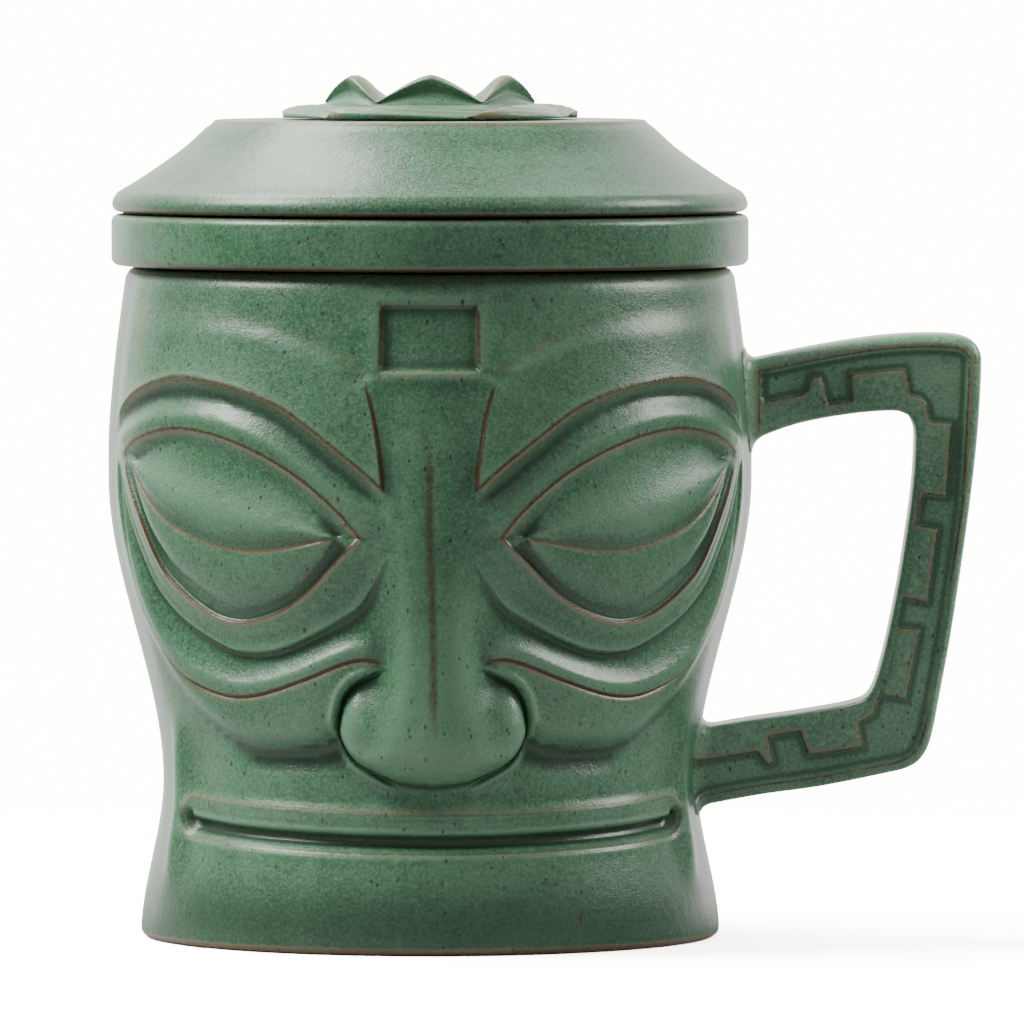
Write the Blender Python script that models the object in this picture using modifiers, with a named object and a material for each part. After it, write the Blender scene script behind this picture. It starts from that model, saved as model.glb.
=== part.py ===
"""Lidded stoneware tea mug with a mask face: body, handle, infuser basket, lid and the crown on the lid.

Metres, +Z up. The origin is the middle of the foot, the face looks along -Y and the handle is at +X.
"""

import math

import bmesh
import bpy

NAME = "mask_mug"
GAP = 0.0003  # clearance between pieces that touch

# Body: a turned wall, with the face standing proud of it
BODY_HEIGHT = 0.1004
FOOT_RADIUS = 0.0435
WAIST_RADIUS = 0.0401
WAIST_HEIGHT = 0.0235
BELLY_RADIUS = 0.0483
BELLY_HEIGHT = 0.069
SHOULDER_HEIGHT = 0.074
SHOULDER_CURVE = 1.4  # power of the curve from the shoulder to the rim
RIM_RADIUS = 0.0455
FOOT_ROUND = 0.0014
RIM_ROUND = 0.0014
WALL = 0.0042
BELLY_WALL = 0.0054  # the wall is thicker behind the eyes, which are carved into it
FLOOR = 0.0062
FLOOR_ROUND = 0.007
BODY_STEPS = 68
BODY_ROWS = 33
CAVITY_ROWS = 7
FRONT_CROWDING = 0.42  # how far the columns of points crowd towards the face

# Handle: a flat bent bar, fixed to the body with slip
HANDLE_REACH = 0.0838  # from the axis to the outer face at the top corner, before it is rounded
HANDLE_LEAN = 0.0088  # how far the grip leans in at the bottom corner
HANDLE_TOP = 0.0906
HANDLE_BOTTOM = 0.0250
HANDLE_BAR = 0.0115  # width of the two arms, seen from the front
HANDLE_GRIP_BAR = 0.0100  # width of the upright part
HANDLE_DEPTH = 0.0125
ARM_DROP = 0.0050  # each arm falls by this much on its way in to the body
HANDLE_CORNER = 0.0062
HANDLE_INNER_CORNER = 0.0030
HANDLE_EDGE = 0.0022
LOWER_ARM_DROP = 0.0062
GRIP_TAPER = 0.0013  # the grip is wider at its top than at its bottom by this much
CORNER_STEPS = 4

# Infuser: a wide flange that sits on the rim, and a straight basket with holes in its floor
FLANGE_RADIUS = 0.0478
FLANGE_HEIGHT = 0.0077
FLANGE_ROUND = 0.0012
BASKET_CLEARANCE = 0.0021  # between the top of the basket and the mouth of the body
BASKET_RADIUS = RIM_RADIUS - WALL - BASKET_CLEARANCE
BASKET_TAPER = 0.0057  # the basket narrows by this much down to its floor
BASKET_DEPTH = 0.063  # below the rim of the body
BASKET_WALL = 0.0027
BASKET_CORNER = 0.0054  # the rounding between its floor and its wall
SPIGOT_HEIGHT = 0.004  # the ring under the flange that centres the basket in the rim
SPIGOT_CLEARANCE = 0.0005
HOLE_RADIUS = 0.0012
HOLE_PITCH = 0.0078
HOLE_RINGS = 3
HOLE_SIDES = 8

# Lid: a hollow cone with a flat top and a collar that drops into the infuser
LID_RADIUS = 0.0477
LID_HEIGHT = 0.0138
LID_EDGE = 0.0022  # height of the upright edge
LID_TOP_RADIUS = 0.0327
LID_ROUND = 0.0012
LID_WALL = 0.0042
LID_SAG = 0.0006  # the cone is very slightly hollow
SLOPE_ROWS = 5
COLLAR_HEIGHT = 0.0055
COLLAR_WALL = 0.0030
COLLAR_CLEARANCE = 0.0007

# Crown: a low whorl of lobes with a ring of petals on it
WHORL_RADIUS = 0.0222
WHORL_HEIGHT = 0.0021
WHORL_WAVE = 0.0016
LOBE_HOOK = 6.0  # how quickly each lobe's end turns in
PETALS = 6
PETAL_RING_RADIUS = 0.0137
PETAL_HEIGHT = 0.0042
PETAL_FLARE = 0.0024
PETAL_WALL = 0.0026
PETAL_CURVE = 1.65  # power of the curve from a petal's tip to its foot
PETAL_LOW = 0.06  # share of its height that is left between two petals
PETAL_FLATNESS = 0.7  # 0 keeps the petals on a circle, 1 puts them on a hexagon
PETAL_ROWS = 3
CROWN_DISH = 0.0004  # how far the middle of the whorl is dished
WHORL_ROUND = 0.0012
TURNED_STEPS = 48
CROWN_STEPS = 60

# The lines of the face on one side: turn from the front in degrees, share of the body's height
BROW_TOP = ((8.4, 0.684), (9.8, 0.783), (12.2, 0.853), (20, 0.891), (37, 0.932), (53, 0.944), (80, 0.940))
BROW_EDGE = ((8.4, 0.684), (15.8, 0.738), (23.4, 0.784), (36, 0.829), (50, 0.844), (65, 0.827), (80, 0.790))
EYE_TOP = ((12.7, 0.617), (19.5, 0.676), (31, 0.734), (48, 0.768), (63, 0.753), (71, 0.733), (80, 0.72))
EYE_MIDDLE = ((12.7, 0.616), (20, 0.611), (34, 0.596), (46, 0.605), (56, 0.640), (65, 0.710), (80, 0.715))
EYE_BOTTOM = (
    (12.7, 0.615), (22, 0.542), (31, 0.501), (40, 0.488),
    (53, 0.530), (64, 0.633), (71, 0.727), (80, 0.71),
)
LID_FOLD = (
    (6, 0.59), (10, 0.550), (21, 0.482), (37, 0.445),
    (50, 0.464), (61, 0.520), (72, 0.667), (80, 0.69),
)
CHEEK_LINE = (
    (6, 0.44), (14, 0.435), (26, 0.402), (42, 0.376),
    (60, 0.409), (69, 0.498), (74, 0.622), (80, 0.66),
)
CHEEK_EDGE = ((6, 0.36), (22, 0.329), (35, 0.309), (46, 0.317), (62, 0.373), (74, 0.430), (80, 0.47))
LIP_TOP = 0.212
MOUTH_HEIGHT = 0.180
LIP_BOTTOM = 0.160
FACE_END = 78.0  # degrees of turn at which the face has died away
FACE_FADE = 12.0
MOUTH_END = 62.0
NOSE_REACH = 0.0495  # from the axis to the line of the nose
NOSE_TOP = 0.86
NOSE_TIP = 0.30
NOSE_BASE = 0.243
NOSE_WIDTH = 0.0066
WING_WIDTH = 0.0152
JAW_TURN = 66.0


def ease(t):
    """Smooth step from 0 to 1."""
    t = min(max(t, 0.0), 1.0)
    return t * t * (3.0 - 2.0 * t)


def through(points, x):
    """Height of the smooth curve that passes through the points."""
    if x <= points[0][0]:
        return points[0][1]
    if x >= points[-1][0]:
        return points[-1][1]
    k = next(i for i in range(1, len(points)) if x <= points[i][0])
    before, left, right = points[max(k - 2, 0)], points[k - 1], points[k]
    after = points[min(k + 1, len(points) - 1)]
    span = right[0] - left[0]
    t = (x - left[0]) / span
    rise_left = (right[1] - before[1]) / (right[0] - before[0]) * span
    rise_right = (after[1] - left[1]) / (after[0] - left[0]) * span
    return (
        (2 * t**3 - 3 * t**2 + 1) * left[1]
        + (t**3 - 2 * t**2 + t) * rise_left
        + (3 * t**2 - 2 * t**3) * right[1]
        + (t**3 - t**2) * rise_right
    )


def wall_radius(z):
    """Radius of the turned outside of the body at height z."""
    if z < WAIST_HEIGHT:
        return WAIST_RADIUS + (FOOT_RADIUS - WAIST_RADIUS) * ease(1.0 - z / WAIST_HEIGHT)
    if z < BELLY_HEIGHT:
        rise = (z - WAIST_HEIGHT) / (BELLY_HEIGHT - WAIST_HEIGHT)
        return WAIST_RADIUS + (BELLY_RADIUS - WAIST_RADIUS) * ease(rise)
    rise = max(z - SHOULDER_HEIGHT, 0.0) / (BODY_HEIGHT - SHOULDER_HEIGHT)
    return BELLY_RADIUS - (BELLY_RADIUS - RIM_RADIUS) * rise**SHOULDER_CURVE


def cavity_radius(z):
    """Radius of the smooth inside of the body at height z."""
    belly = ease((z - WAIST_HEIGHT) / (BELLY_HEIGHT - WAIST_HEIGHT))
    belly *= 1.0 - ease((z - SHOULDER_HEIGHT) / (BODY_HEIGHT - SHOULDER_HEIGHT))
    return wall_radius(max(z, WAIST_HEIGHT)) - WALL - (BELLY_WALL - WALL) * belly


def wall_rows():
    """Heights of the rows of points on the outside of the body, from the rim down."""
    top = BODY_HEIGHT - RIM_ROUND
    return [top + (FOOT_ROUND - top) * i / BODY_ROWS for i in range(1, BODY_ROWS)]


def nose_lift(turn, z):
    """How far the nose stands out of the turned wall."""
    share = z / BODY_HEIGHT
    along = math.radians(turn) * wall_radius(z)
    wing = ease((NOSE_TOP / 2 - share) / 0.06) * ease((share - NOSE_BASE) / 0.03)
    width = NOSE_WIDTH + (WING_WIDTH - NOSE_WIDTH) * wing
    height = NOSE_REACH - wall_radius(z)
    height *= ease((NOSE_TOP - share) / 0.12) * ease((share - NOSE_BASE + 0.012) / (NOSE_TIP - NOSE_BASE))
    across = along / width
    return height * (1.0 - 0.35 * across) * (1.0 - ease((across - 0.65) / 0.5))


def face_lift(turn, z):
    """How far the rest of the face stands out of the turned wall, or is carved into it."""
    share = z / BODY_HEIGHT
    brow_top, brow = through(BROW_TOP, turn), through(BROW_EDGE, turn)
    eye_top, eye_bottom = through(EYE_TOP, turn), through(EYE_BOTTOM, turn)
    eye_middle = through(EYE_MIDDLE, turn)
    fold, cheek_line = through(LID_FOLD, turn), through(CHEEK_LINE, turn)
    cheek = through(CHEEK_EDGE, turn)
    open_eye = ease((eye_top - eye_bottom) / 0.09)
    brow_rise = ease((brow_top - brow) / 0.05)
    mouth = ease((MOUTH_END - turn) / 4.0)
    stations = (
        (1.0, 0.0),
        (brow_top + 0.02, 0.0),
        (brow + 0.005, 0.0016 * brow_rise),
        (brow - 0.022, -0.0004),
        (eye_top, 0.0008),
        (eye_top - 0.02, 0.0008 - 0.0016 * open_eye),
        (eye_middle, 0.0012),
        (eye_bottom + 0.02, 0.0008 - 0.0016 * open_eye),
        (eye_bottom - 0.003, 0.0010),
        (fold, 0.0010),
        (fold - 0.014, -0.0006),
        (cheek_line + 0.014, 0.0016),
        (cheek_line - 0.006, 0.0012),
        (cheek + 0.012, 0.0024),
        (cheek - 0.025, -0.0006),
        (LIP_TOP + 0.015, 0.0),
        (LIP_TOP - 0.008, 0.0010 * mouth),
        (MOUTH_HEIGHT, -0.0012 * mouth),
        (LIP_BOTTOM, 0.0004 * mouth),
        (LIP_BOTTOM - 0.02, 0.0),
        (0.0, 0.0),
    )
    upper = stations[0]
    lift = 0.0
    for lower in stations[1:]:
        if share >= lower[0]:
            span = max(upper[0] - lower[0], 1e-6)
            lift = lower[1] + (upper[1] - lower[1]) * ease((share - lower[0]) / span)
            break
        if lower[0] < upper[0]:
            upper = lower
    jaw = math.exp(-(((turn - JAW_TURN) / 6.0) ** 2) - ((share - 0.22) / 0.1) ** 2)
    return lift * ease((FACE_END - turn) / FACE_FADE) + 0.0007 * jaw


def lift_off_wall(turn, z):
    """Relief of the whole face, averaged over the size of one cell of the body's mesh."""
    total = 0.0
    for side in (-1.2, 0.0, 1.2):
        for up in (-0.001, 0.0, 0.001):
            at = abs(turn + side)
            height = min(max(z + up, 0.0), BODY_HEIGHT)
            total += max(face_lift(at, height), nose_lift(at, height))
    return total / 9.0


def material(name, colour, roughness):
    """Glazed or bare fired clay."""
    made = bpy.data.materials.new(name)
    made.use_nodes = True
    shader = made.node_tree.nodes["Principled BSDF"]
    shader.inputs["Base Color"].default_value = (*colour, 1.0)
    shader.inputs["Roughness"].default_value = roughness
    shader.inputs["Metallic"].default_value = 0.0
    return made


def arc(centre_x, centre_z, radius, start, end, steps):
    """Points of an arc in the profile plane, angles in degrees."""
    turns = [math.radians(start + (end - start) * i / steps) for i in range(steps + 1)]
    return [(centre_x + radius * math.cos(t), centre_z + radius * math.sin(t)) for t in turns]


def turned(name, profile, steps, smooth_angle=40.0):
    """A closed turned piece from a profile that starts and ends on the axis, or closes on itself."""
    mesh = bpy.data.meshes.new(name)
    closed = profile[0][0] > GAP and profile[-1][0] > GAP
    edges = [(i, i + 1) for i in range(len(profile) - 1)]
    if closed:
        edges.append((len(profile) - 1, 0))
    mesh.from_pydata([(x, 0.0, z) for x, z in profile], edges, [])
    piece = bpy.data.objects.new(name, mesh)
    parts.objects.link(piece)
    screw = piece.modifiers.new("turn", "SCREW")
    screw.steps = steps
    screw.render_steps = steps
    screw.use_merge_vertices = True
    screw.merge_threshold = 0.0001
    screw.use_smooth_shade = True
    piece.data = bpy.data.meshes.new_from_object(piece.evaluated_get(bpy.context.evaluated_depsgraph_get()))
    piece.modifiers.clear()
    piece.data.name = name
    piece.data.set_sharp_from_angle(angle=math.radians(smooth_angle))
    return piece


def move_points(piece, place):
    """Put every point of a piece where place(point) says."""
    for vertex in piece.data.vertices:
        vertex.co = place(vertex.co.copy())
    piece.data.update()


def cut(piece, cutter):
    """Take the cutter away from the piece."""
    step = piece.modifiers.new("cut", "BOOLEAN")
    step.object = cutter
    step.operation = "DIFFERENCE"
    step.solver = "EXACT"


def make_body():
    """The cast body: a turned wall whose outside points then move to the face's relief."""
    inner_rim = cavity_radius(BODY_HEIGHT)
    profile = [(0.0, FLOOR)]
    floor_corner = cavity_radius(FLOOR + FLOOR_ROUND)
    profile += arc(floor_corner - FLOOR_ROUND, FLOOR + FLOOR_ROUND, FLOOR_ROUND, -90, 0, 4)
    inner_top = BODY_HEIGHT - RIM_ROUND
    for i in range(1, CAVITY_ROWS):
        z = FLOOR + FLOOR_ROUND + (inner_top - FLOOR - FLOOR_ROUND) * i / CAVITY_ROWS
        profile.append((cavity_radius(z), z))
    profile += arc(inner_rim + RIM_ROUND, inner_top, RIM_ROUND, 180, 90, 2)
    profile += arc(RIM_RADIUS - RIM_ROUND, inner_top, RIM_ROUND, 90, 0, 2)
    profile += [(wall_radius(z), z) for z in wall_rows()]
    profile += arc(FOOT_RADIUS - FOOT_ROUND, FOOT_ROUND, FOOT_ROUND, 0, -90, 2)
    profile.append((0.0, 0.0))
    body = turned("mug_body", profile, BODY_STEPS)

    def place(point):
        radius = math.hypot(point.x, point.y)
        if radius < GAP:
            return point
        turn = math.atan2(point.x, -point.y)  # 0 at the front, +90 degrees at the handle
        turn -= FRONT_CROWDING * math.sin(turn)
        lift = 0.0
        if radius > (inner_rim + wall_radius(point.z)) / 2 and FOOT_ROUND < point.z < inner_top:
            lift = lift_off_wall(math.degrees(turn), point.z)
        point.x = (radius + lift) * math.sin(turn)
        point.y = -(radius + lift) * math.cos(turn)
        return point

    move_points(body, place)
    body.data.set_sharp_from_angle(angle=math.radians(40.0))
    return body


def rounded_outline(corners):
    """Straight runs with arcs at the corners; each corner is (x, z, radius)."""
    points = []
    count = len(corners)
    for i, (x, z, radius) in enumerate(corners):
        before, after = corners[i - 1], corners[(i + 1) % count]
        if radius == 0.0:
            points.append((x, z))
            continue
        to_before = math.atan2(before[1] - z, before[0] - x)
        to_after = math.atan2(after[1] - z, after[0] - x)
        opening = (to_after - to_before + math.pi) % (2 * math.pi) - math.pi
        back = radius / math.tan(abs(opening) / 2)
        middle = to_before + opening / 2
        centre = (
            x + math.cos(middle) * math.hypot(back, radius),
            z + math.sin(middle) * math.hypot(back, radius),
        )
        start = (x + math.cos(to_before) * back, z + math.sin(to_before) * back)
        end = (x + math.cos(to_after) * back, z + math.sin(to_after) * back)
        first = math.atan2(start[1] - centre[1], start[0] - centre[0])
        last = math.atan2(end[1] - centre[1], end[0] - centre[0])
        sweep = (last - first + math.pi) % (2 * math.pi) - math.pi
        for k in range(CORNER_STEPS + 1):
            turn = first + sweep * k / CORNER_STEPS
            points.append((centre[0] + radius * math.cos(turn), centre[1] + radius * math.sin(turn)))
    return points


def make_handle():
    """The handle: a flat outline given its depth, rounded, and cut to the body's wall."""
    root = WAIST_RADIUS - WALL  # both arms start inside the wall and are cut back to it
    low_corner = HANDLE_REACH - HANDLE_LEAN
    top_in = HANDLE_TOP - ARM_DROP
    bottom_in = HANDLE_BOTTOM - LOWER_ARM_DROP
    low_inside = low_corner - HANDLE_GRIP_BAR + GRIP_TAPER
    outline = rounded_outline((
        (root, top_in, 0.0),
        (HANDLE_REACH, HANDLE_TOP, HANDLE_CORNER),
        (low_corner, HANDLE_BOTTOM, HANDLE_CORNER),
        (root, bottom_in, 0.0),
        (root, bottom_in + HANDLE_BAR, 0.0),
        (low_inside, HANDLE_BOTTOM + HANDLE_BAR, HANDLE_INNER_CORNER),
        (HANDLE_REACH - HANDLE_GRIP_BAR, HANDLE_TOP - HANDLE_BAR, HANDLE_INNER_CORNER),
        (root, top_in - HANDLE_BAR, 0.0),
    ))
    curve = bpy.data.curves.new("handle_outline", "CURVE")
    curve.dimensions = "2D"
    curve.fill_mode = "BOTH"
    curve.extrude = HANDLE_DEPTH / 2
    spline = curve.splines.new("POLY")
    spline.points.add(len(outline) - 1)
    for point, (x, z) in zip(spline.points, outline):
        point.co = (x, z, 0.0, 1.0)
    spline.use_cyclic_u = True
    drawn = bpy.data.objects.new("handle_outline", curve)
    drawn.rotation_euler = (math.pi / 2, 0.0, 0.0)
    parts.objects.link(drawn)
    bpy.context.view_layer.update()
    mesh = bpy.data.meshes.new_from_object(drawn.evaluated_get(bpy.context.evaluated_depsgraph_get()))
    welded = bmesh.new()
    welded.from_mesh(mesh)
    bmesh.ops.remove_doubles(welded, verts=welded.verts, dist=1e-6)
    bmesh.ops.dissolve_limit(welded, angle_limit=math.radians(1.0), verts=welded.verts, edges=welded.edges)
    bmesh.ops.recalc_face_normals(welded, faces=welded.faces)
    welded.to_mesh(mesh)
    welded.free()
    handle = bpy.data.objects.new("handle", mesh)
    handle.matrix_world = drawn.matrix_world
    parts.objects.link(handle)
    bpy.data.objects.remove(drawn)
    edge = handle.modifiers.new("edge", "BEVEL")
    edge.width = HANDLE_EDGE
    edge.segments = 2
    edge.limit_method = "ANGLE"
    edge.angle_limit = math.radians(50.0)
    wall = [(0.0, BODY_HEIGHT), (RIM_RADIUS + GAP, BODY_HEIGHT)]
    wall += [(wall_radius(z) + GAP, z) for z in wall_rows()]
    wall += [(FOOT_RADIUS + GAP, 0.0), (0.0, 0.0)]
    clearance = turned("handle_clearance", wall, BODY_STEPS)
    cutters.objects.link(clearance)
    parts.objects.unlink(clearance)
    clearance.hide_render = True
    clearance.display_type = "WIRE"
    cut(handle, clearance)
    return handle


def make_infuser():
    """The infuser: flange, centring ring and basket turned in one, then its floor pierced."""
    seat = BODY_HEIGHT + GAP
    top = seat + FLANGE_HEIGHT
    floor = BODY_HEIGHT - BASKET_DEPTH
    spigot = cavity_radius(BODY_HEIGHT) - SPIGOT_CLEARANCE
    inside = BASKET_RADIUS - BASKET_WALL
    floor_radius = BASKET_RADIUS - BASKET_TAPER
    inside_floor = floor_radius - BASKET_WALL
    corner = BASKET_CORNER / 2
    profile = [(0.0, floor + BASKET_WALL), (inside_floor - corner, floor + BASKET_WALL)]
    profile.append((inside_floor, floor + BASKET_WALL + corner))
    profile.append((inside, top - FLANGE_ROUND))
    profile += arc(inside + FLANGE_ROUND, top - FLANGE_ROUND, FLANGE_ROUND, 180, 90, 2)[1:]
    profile += arc(FLANGE_RADIUS - FLANGE_ROUND, top - FLANGE_ROUND, FLANGE_ROUND, 90, 0, 2)
    profile += arc(FLANGE_RADIUS - FLANGE_ROUND, seat + FLANGE_ROUND, FLANGE_ROUND, 0, -90, 2)
    profile += [(spigot, seat), (spigot, seat - SPIGOT_HEIGHT)]
    profile += [(BASKET_RADIUS, seat - SPIGOT_HEIGHT - BASKET_WALL / 2)]
    profile += [(floor_radius, floor + corner), (floor_radius - corner, floor), (0.0, floor)]
    infuser = turned("infuser", profile, TURNED_STEPS)
    drills = bmesh.new()
    rings = min(HOLE_RINGS, int((inside_floor - BASKET_CORNER - HOLE_RADIUS) / HOLE_PITCH))
    for ring in range(rings + 1):
        count = max(6 * ring, 1)
        for i in range(count):
            turn = 2 * math.pi * i / count
            made = bmesh.ops.create_cone(
                drills,
                cap_ends=True,
                segments=HOLE_SIDES,
                radius1=HOLE_RADIUS,
                radius2=HOLE_RADIUS,
                depth=3 * BASKET_WALL,
            )
            reach = ring * HOLE_PITCH
            place = (reach * math.cos(turn), reach * math.sin(turn), floor + BASKET_WALL / 2)
            bmesh.ops.translate(drills, verts=made["verts"], vec=place)
    mesh = bpy.data.meshes.new("infuser_drills")
    drills.to_mesh(mesh)
    drills.free()
    cutter = bpy.data.objects.new("infuser_drills", mesh)
    cutters.objects.link(cutter)
    cutter.hide_render = True
    cutter.display_type = "WIRE"
    cut(infuser, cutter)
    return infuser


def make_lid():
    """The lid: a hollow cone with an upright edge, and the collar under it."""
    seat = BODY_HEIGHT + FLANGE_HEIGHT + 2 * GAP
    top = seat + LID_HEIGHT
    collar = BASKET_RADIUS - BASKET_WALL - COLLAR_CLEARANCE
    collar_inside = collar - COLLAR_WALL
    roof = top - LID_WALL
    hollow_top = LID_TOP_RADIUS - LID_WALL
    profile = [(0.0, roof), (hollow_top, roof), (collar_inside, seat + LID_EDGE)]
    profile += [(collar_inside, seat - COLLAR_HEIGHT), (collar, seat - COLLAR_HEIGHT), (collar, seat)]
    ring = arc(LID_RADIUS - LID_ROUND, seat + LID_ROUND, LID_ROUND, -90, 0, 2)
    slope_start = (LID_RADIUS - LID_ROUND / 3, seat + LID_EDGE)
    slope = []
    for i in range(SLOPE_ROWS + 1):
        t = i / SLOPE_ROWS
        sag = LID_SAG * math.sin(math.pi * t)
        x = slope_start[0] + (LID_TOP_RADIUS - slope_start[0]) * t - sag
        slope.append((x, slope_start[1] + (top - LID_ROUND / 2 - slope_start[1]) * t - sag))
    profile += ring + slope + [(LID_TOP_RADIUS - LID_ROUND, top), (0.0, top)]
    profile.reverse()
    return turned("lid", profile, TURNED_STEPS)


def make_crown():
    """The crown: a low whorl and a ring of pointed petals, turned as one and then shaped by the turn."""
    base = BODY_HEIGHT + FLANGE_HEIGHT + LID_HEIGHT + 3 * GAP
    shelf = base + WHORL_HEIGHT
    inner = PETAL_RING_RADIUS - PETAL_WALL
    middle = PETAL_RING_RADIUS - PETAL_WALL / 2
    rises = [PETAL_HEIGHT * i / PETAL_ROWS for i in range(PETAL_ROWS)]
    profile = [(0.0, shelf - CROWN_DISH)]
    profile += [(inner, shelf + rise) for rise in rises]
    profile.append((middle, shelf + PETAL_HEIGHT))
    profile += [(PETAL_RING_RADIUS, shelf + rise) for rise in reversed(rises)]
    profile += [(WHORL_RADIUS - WHORL_ROUND, shelf - CROWN_DISH), (WHORL_RADIUS, shelf - WHORL_HEIGHT / 2)]
    profile += [(WHORL_RADIUS, base), (0.0, base)]
    crown = turned("lid_crown", profile, CROWN_STEPS)

    def place(point):
        radius = math.hypot(point.x, point.y)
        if radius < GAP:
            return point
        turn = math.atan2(point.x, -point.y)
        sector = (math.degrees(turn) * PETALS / 360.0 + 0.5) % 1.0 - 0.5
        peak = 1.0 - abs(2 * sector) ** PETAL_CURVE
        over = max(point.z - shelf, 0.0) / PETAL_HEIGHT
        if radius < PETAL_RING_RADIUS + GAP:
            side = math.cos(math.pi / PETALS) / math.cos(2 * math.pi * sector / PETALS)
            radius *= 1.0 + (side - 1.0) * PETAL_FLATNESS
            if over > 0.0:
                point.z -= (point.z - shelf) * (1.0 - max(peak, PETAL_LOW))
            radius += PETAL_FLARE * over * peak
        else:
            lobe = (math.degrees(turn) * PETALS / 360.0) % 1.0
            radius -= WHORL_WAVE * (1.0 - lobe) * ease(lobe * LOBE_HOOK)
        point.x = radius * math.sin(turn)
        point.y = -radius * math.cos(turn)
        return point

    move_points(crown, place)
    return crown


for old in list(bpy.data.objects):
    bpy.data.objects.remove(old)

parts = bpy.data.collections.new(NAME)
cutters = bpy.data.collections.new("cutters")
bpy.context.scene.collection.children.link(parts)
bpy.context.scene.collection.children.link(cutters)

glaze = (0.105, 0.235, 0.165)
pieces = (
    (make_body(), material("body_glaze", glaze, 0.34)),
    (make_handle(), material("handle_glaze", (0.095, 0.215, 0.150), 0.34)),
    (make_infuser(), material("infuser_glaze", (0.115, 0.240, 0.170), 0.36)),
    (make_lid(), material("lid_glaze", (0.140, 0.285, 0.205), 0.36)),
    (make_crown(), material("crown_glaze", (0.120, 0.250, 0.175), 0.36)),
)
for piece, finish in pieces:
    piece.data.materials.clear()
    piece.data.materials.append(finish)
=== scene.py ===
"""Looks of the lidded mask mug, made on its frame. Lengths are in millimetres until MM makes them metres."""

import math

import bmesh
import bpy
import numpy as np
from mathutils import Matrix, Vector


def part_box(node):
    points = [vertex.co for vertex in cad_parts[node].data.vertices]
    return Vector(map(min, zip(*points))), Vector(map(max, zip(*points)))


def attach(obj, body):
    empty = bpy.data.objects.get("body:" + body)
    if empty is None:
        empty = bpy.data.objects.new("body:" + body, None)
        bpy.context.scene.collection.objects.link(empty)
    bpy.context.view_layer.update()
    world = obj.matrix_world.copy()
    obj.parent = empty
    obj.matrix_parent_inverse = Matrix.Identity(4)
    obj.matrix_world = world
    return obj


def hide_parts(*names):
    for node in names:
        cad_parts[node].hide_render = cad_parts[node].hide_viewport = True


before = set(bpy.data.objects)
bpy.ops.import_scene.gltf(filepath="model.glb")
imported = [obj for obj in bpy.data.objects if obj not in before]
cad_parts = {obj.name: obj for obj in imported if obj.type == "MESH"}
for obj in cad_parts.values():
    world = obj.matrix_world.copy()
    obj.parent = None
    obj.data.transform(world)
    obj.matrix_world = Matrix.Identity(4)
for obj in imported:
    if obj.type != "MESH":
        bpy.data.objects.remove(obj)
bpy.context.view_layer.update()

# ----------------------------------------------------------------------------------------------------
# Body. Slip-cast stoneware, about 4 mm thick: a turned wall with the mask face raised out of it and cut in.
# The face is drawn on the unrolled wall: "across" is the arc from the middle of the face, "up" the height.
# The mesh is a sheet of 1 mm cells, split finer along the sharp lines, then rolled up and closed inside.
MM = 0.001
body_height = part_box("mug_body")[1][2] / MM
foot_radius, waist_radius, belly_radius, rim_radius = 43.5, 40.1, 48.3, 45.5
waist_height, belly_height, shoulder_height = 23.5, 69.0, 74.0
wall, belly_wall, floor_height, floor_round = 4.2, 5.4, 6.2, 7.0
edge_round = 1.4
foot_recess, foot_ring_inside = 0.35, 40.5  # the foot stands on a ring with a shallow recess in it
unroll_radius = 46.0  # an arc at this radius is what "across" measures
face_half = 66.0  # the face ends here, across
far_off = 9.0  # a distance at which no mark or ridge shows any more


def ease(t):
    """Smooth step from 0 to 1."""
    t = np.clip(t, 0.0, 1.0)
    return t * t * (3.0 - 2.0 * t)


def bell(distance, width):
    """A soft ridge, 1 on the line and fading over its width."""
    return np.exp(-((distance / width) ** 2))


def wall_radius(up):
    """Radius of the turned outside at a height."""
    up = np.asarray(up, float)
    low = waist_radius + (foot_radius - waist_radius) * ease(1.0 - up / waist_height)
    swell = ease((up - waist_height) / (belly_height - waist_height))
    middle = waist_radius + (belly_radius - waist_radius) * swell
    draw_in = np.clip((up - shoulder_height) / (body_height - shoulder_height), 0.0, 1.0)
    high = belly_radius - (belly_radius - rim_radius) * draw_in**1.4
    return np.where(up < waist_height, low, np.where(up < belly_height, middle, high))


def cavity_radius(up):
    """Radius of the smooth inside at a height."""
    belly = ease((up - waist_height) / (belly_height - waist_height))
    belly = belly * (1.0 - ease((up - shoulder_height) / (body_height - shoulder_height)))
    return wall_radius(np.maximum(up, waist_height)) - wall - (belly_wall - wall) * belly


def flowing(points, step=0.4, counts=None):
    """A smooth line through the points in short runs, about a step long or as many as the counts say."""
    p = np.asarray(points, float)
    p = np.vstack([2 * p[0] - p[1], p, 2 * p[-1] - p[-2]])
    runs = []
    for k, (a, b, c, d) in enumerate(zip(p[:-3], p[1:-2], p[2:-1], p[3:])):
        count = counts[k] if counts else max(int(np.linalg.norm(c - b) / step), 1)
        t = (np.arange(count) / count)[:, None]
        bend, turn = 2 * a - 5 * b + 4 * c - d, 3 * b - a - 3 * c + d
        runs.append(0.5 * (2 * b + (c - a) * t + bend * t**2 + turn * t**3))
    return np.vstack(runs + [p[-2:-1]])


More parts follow.
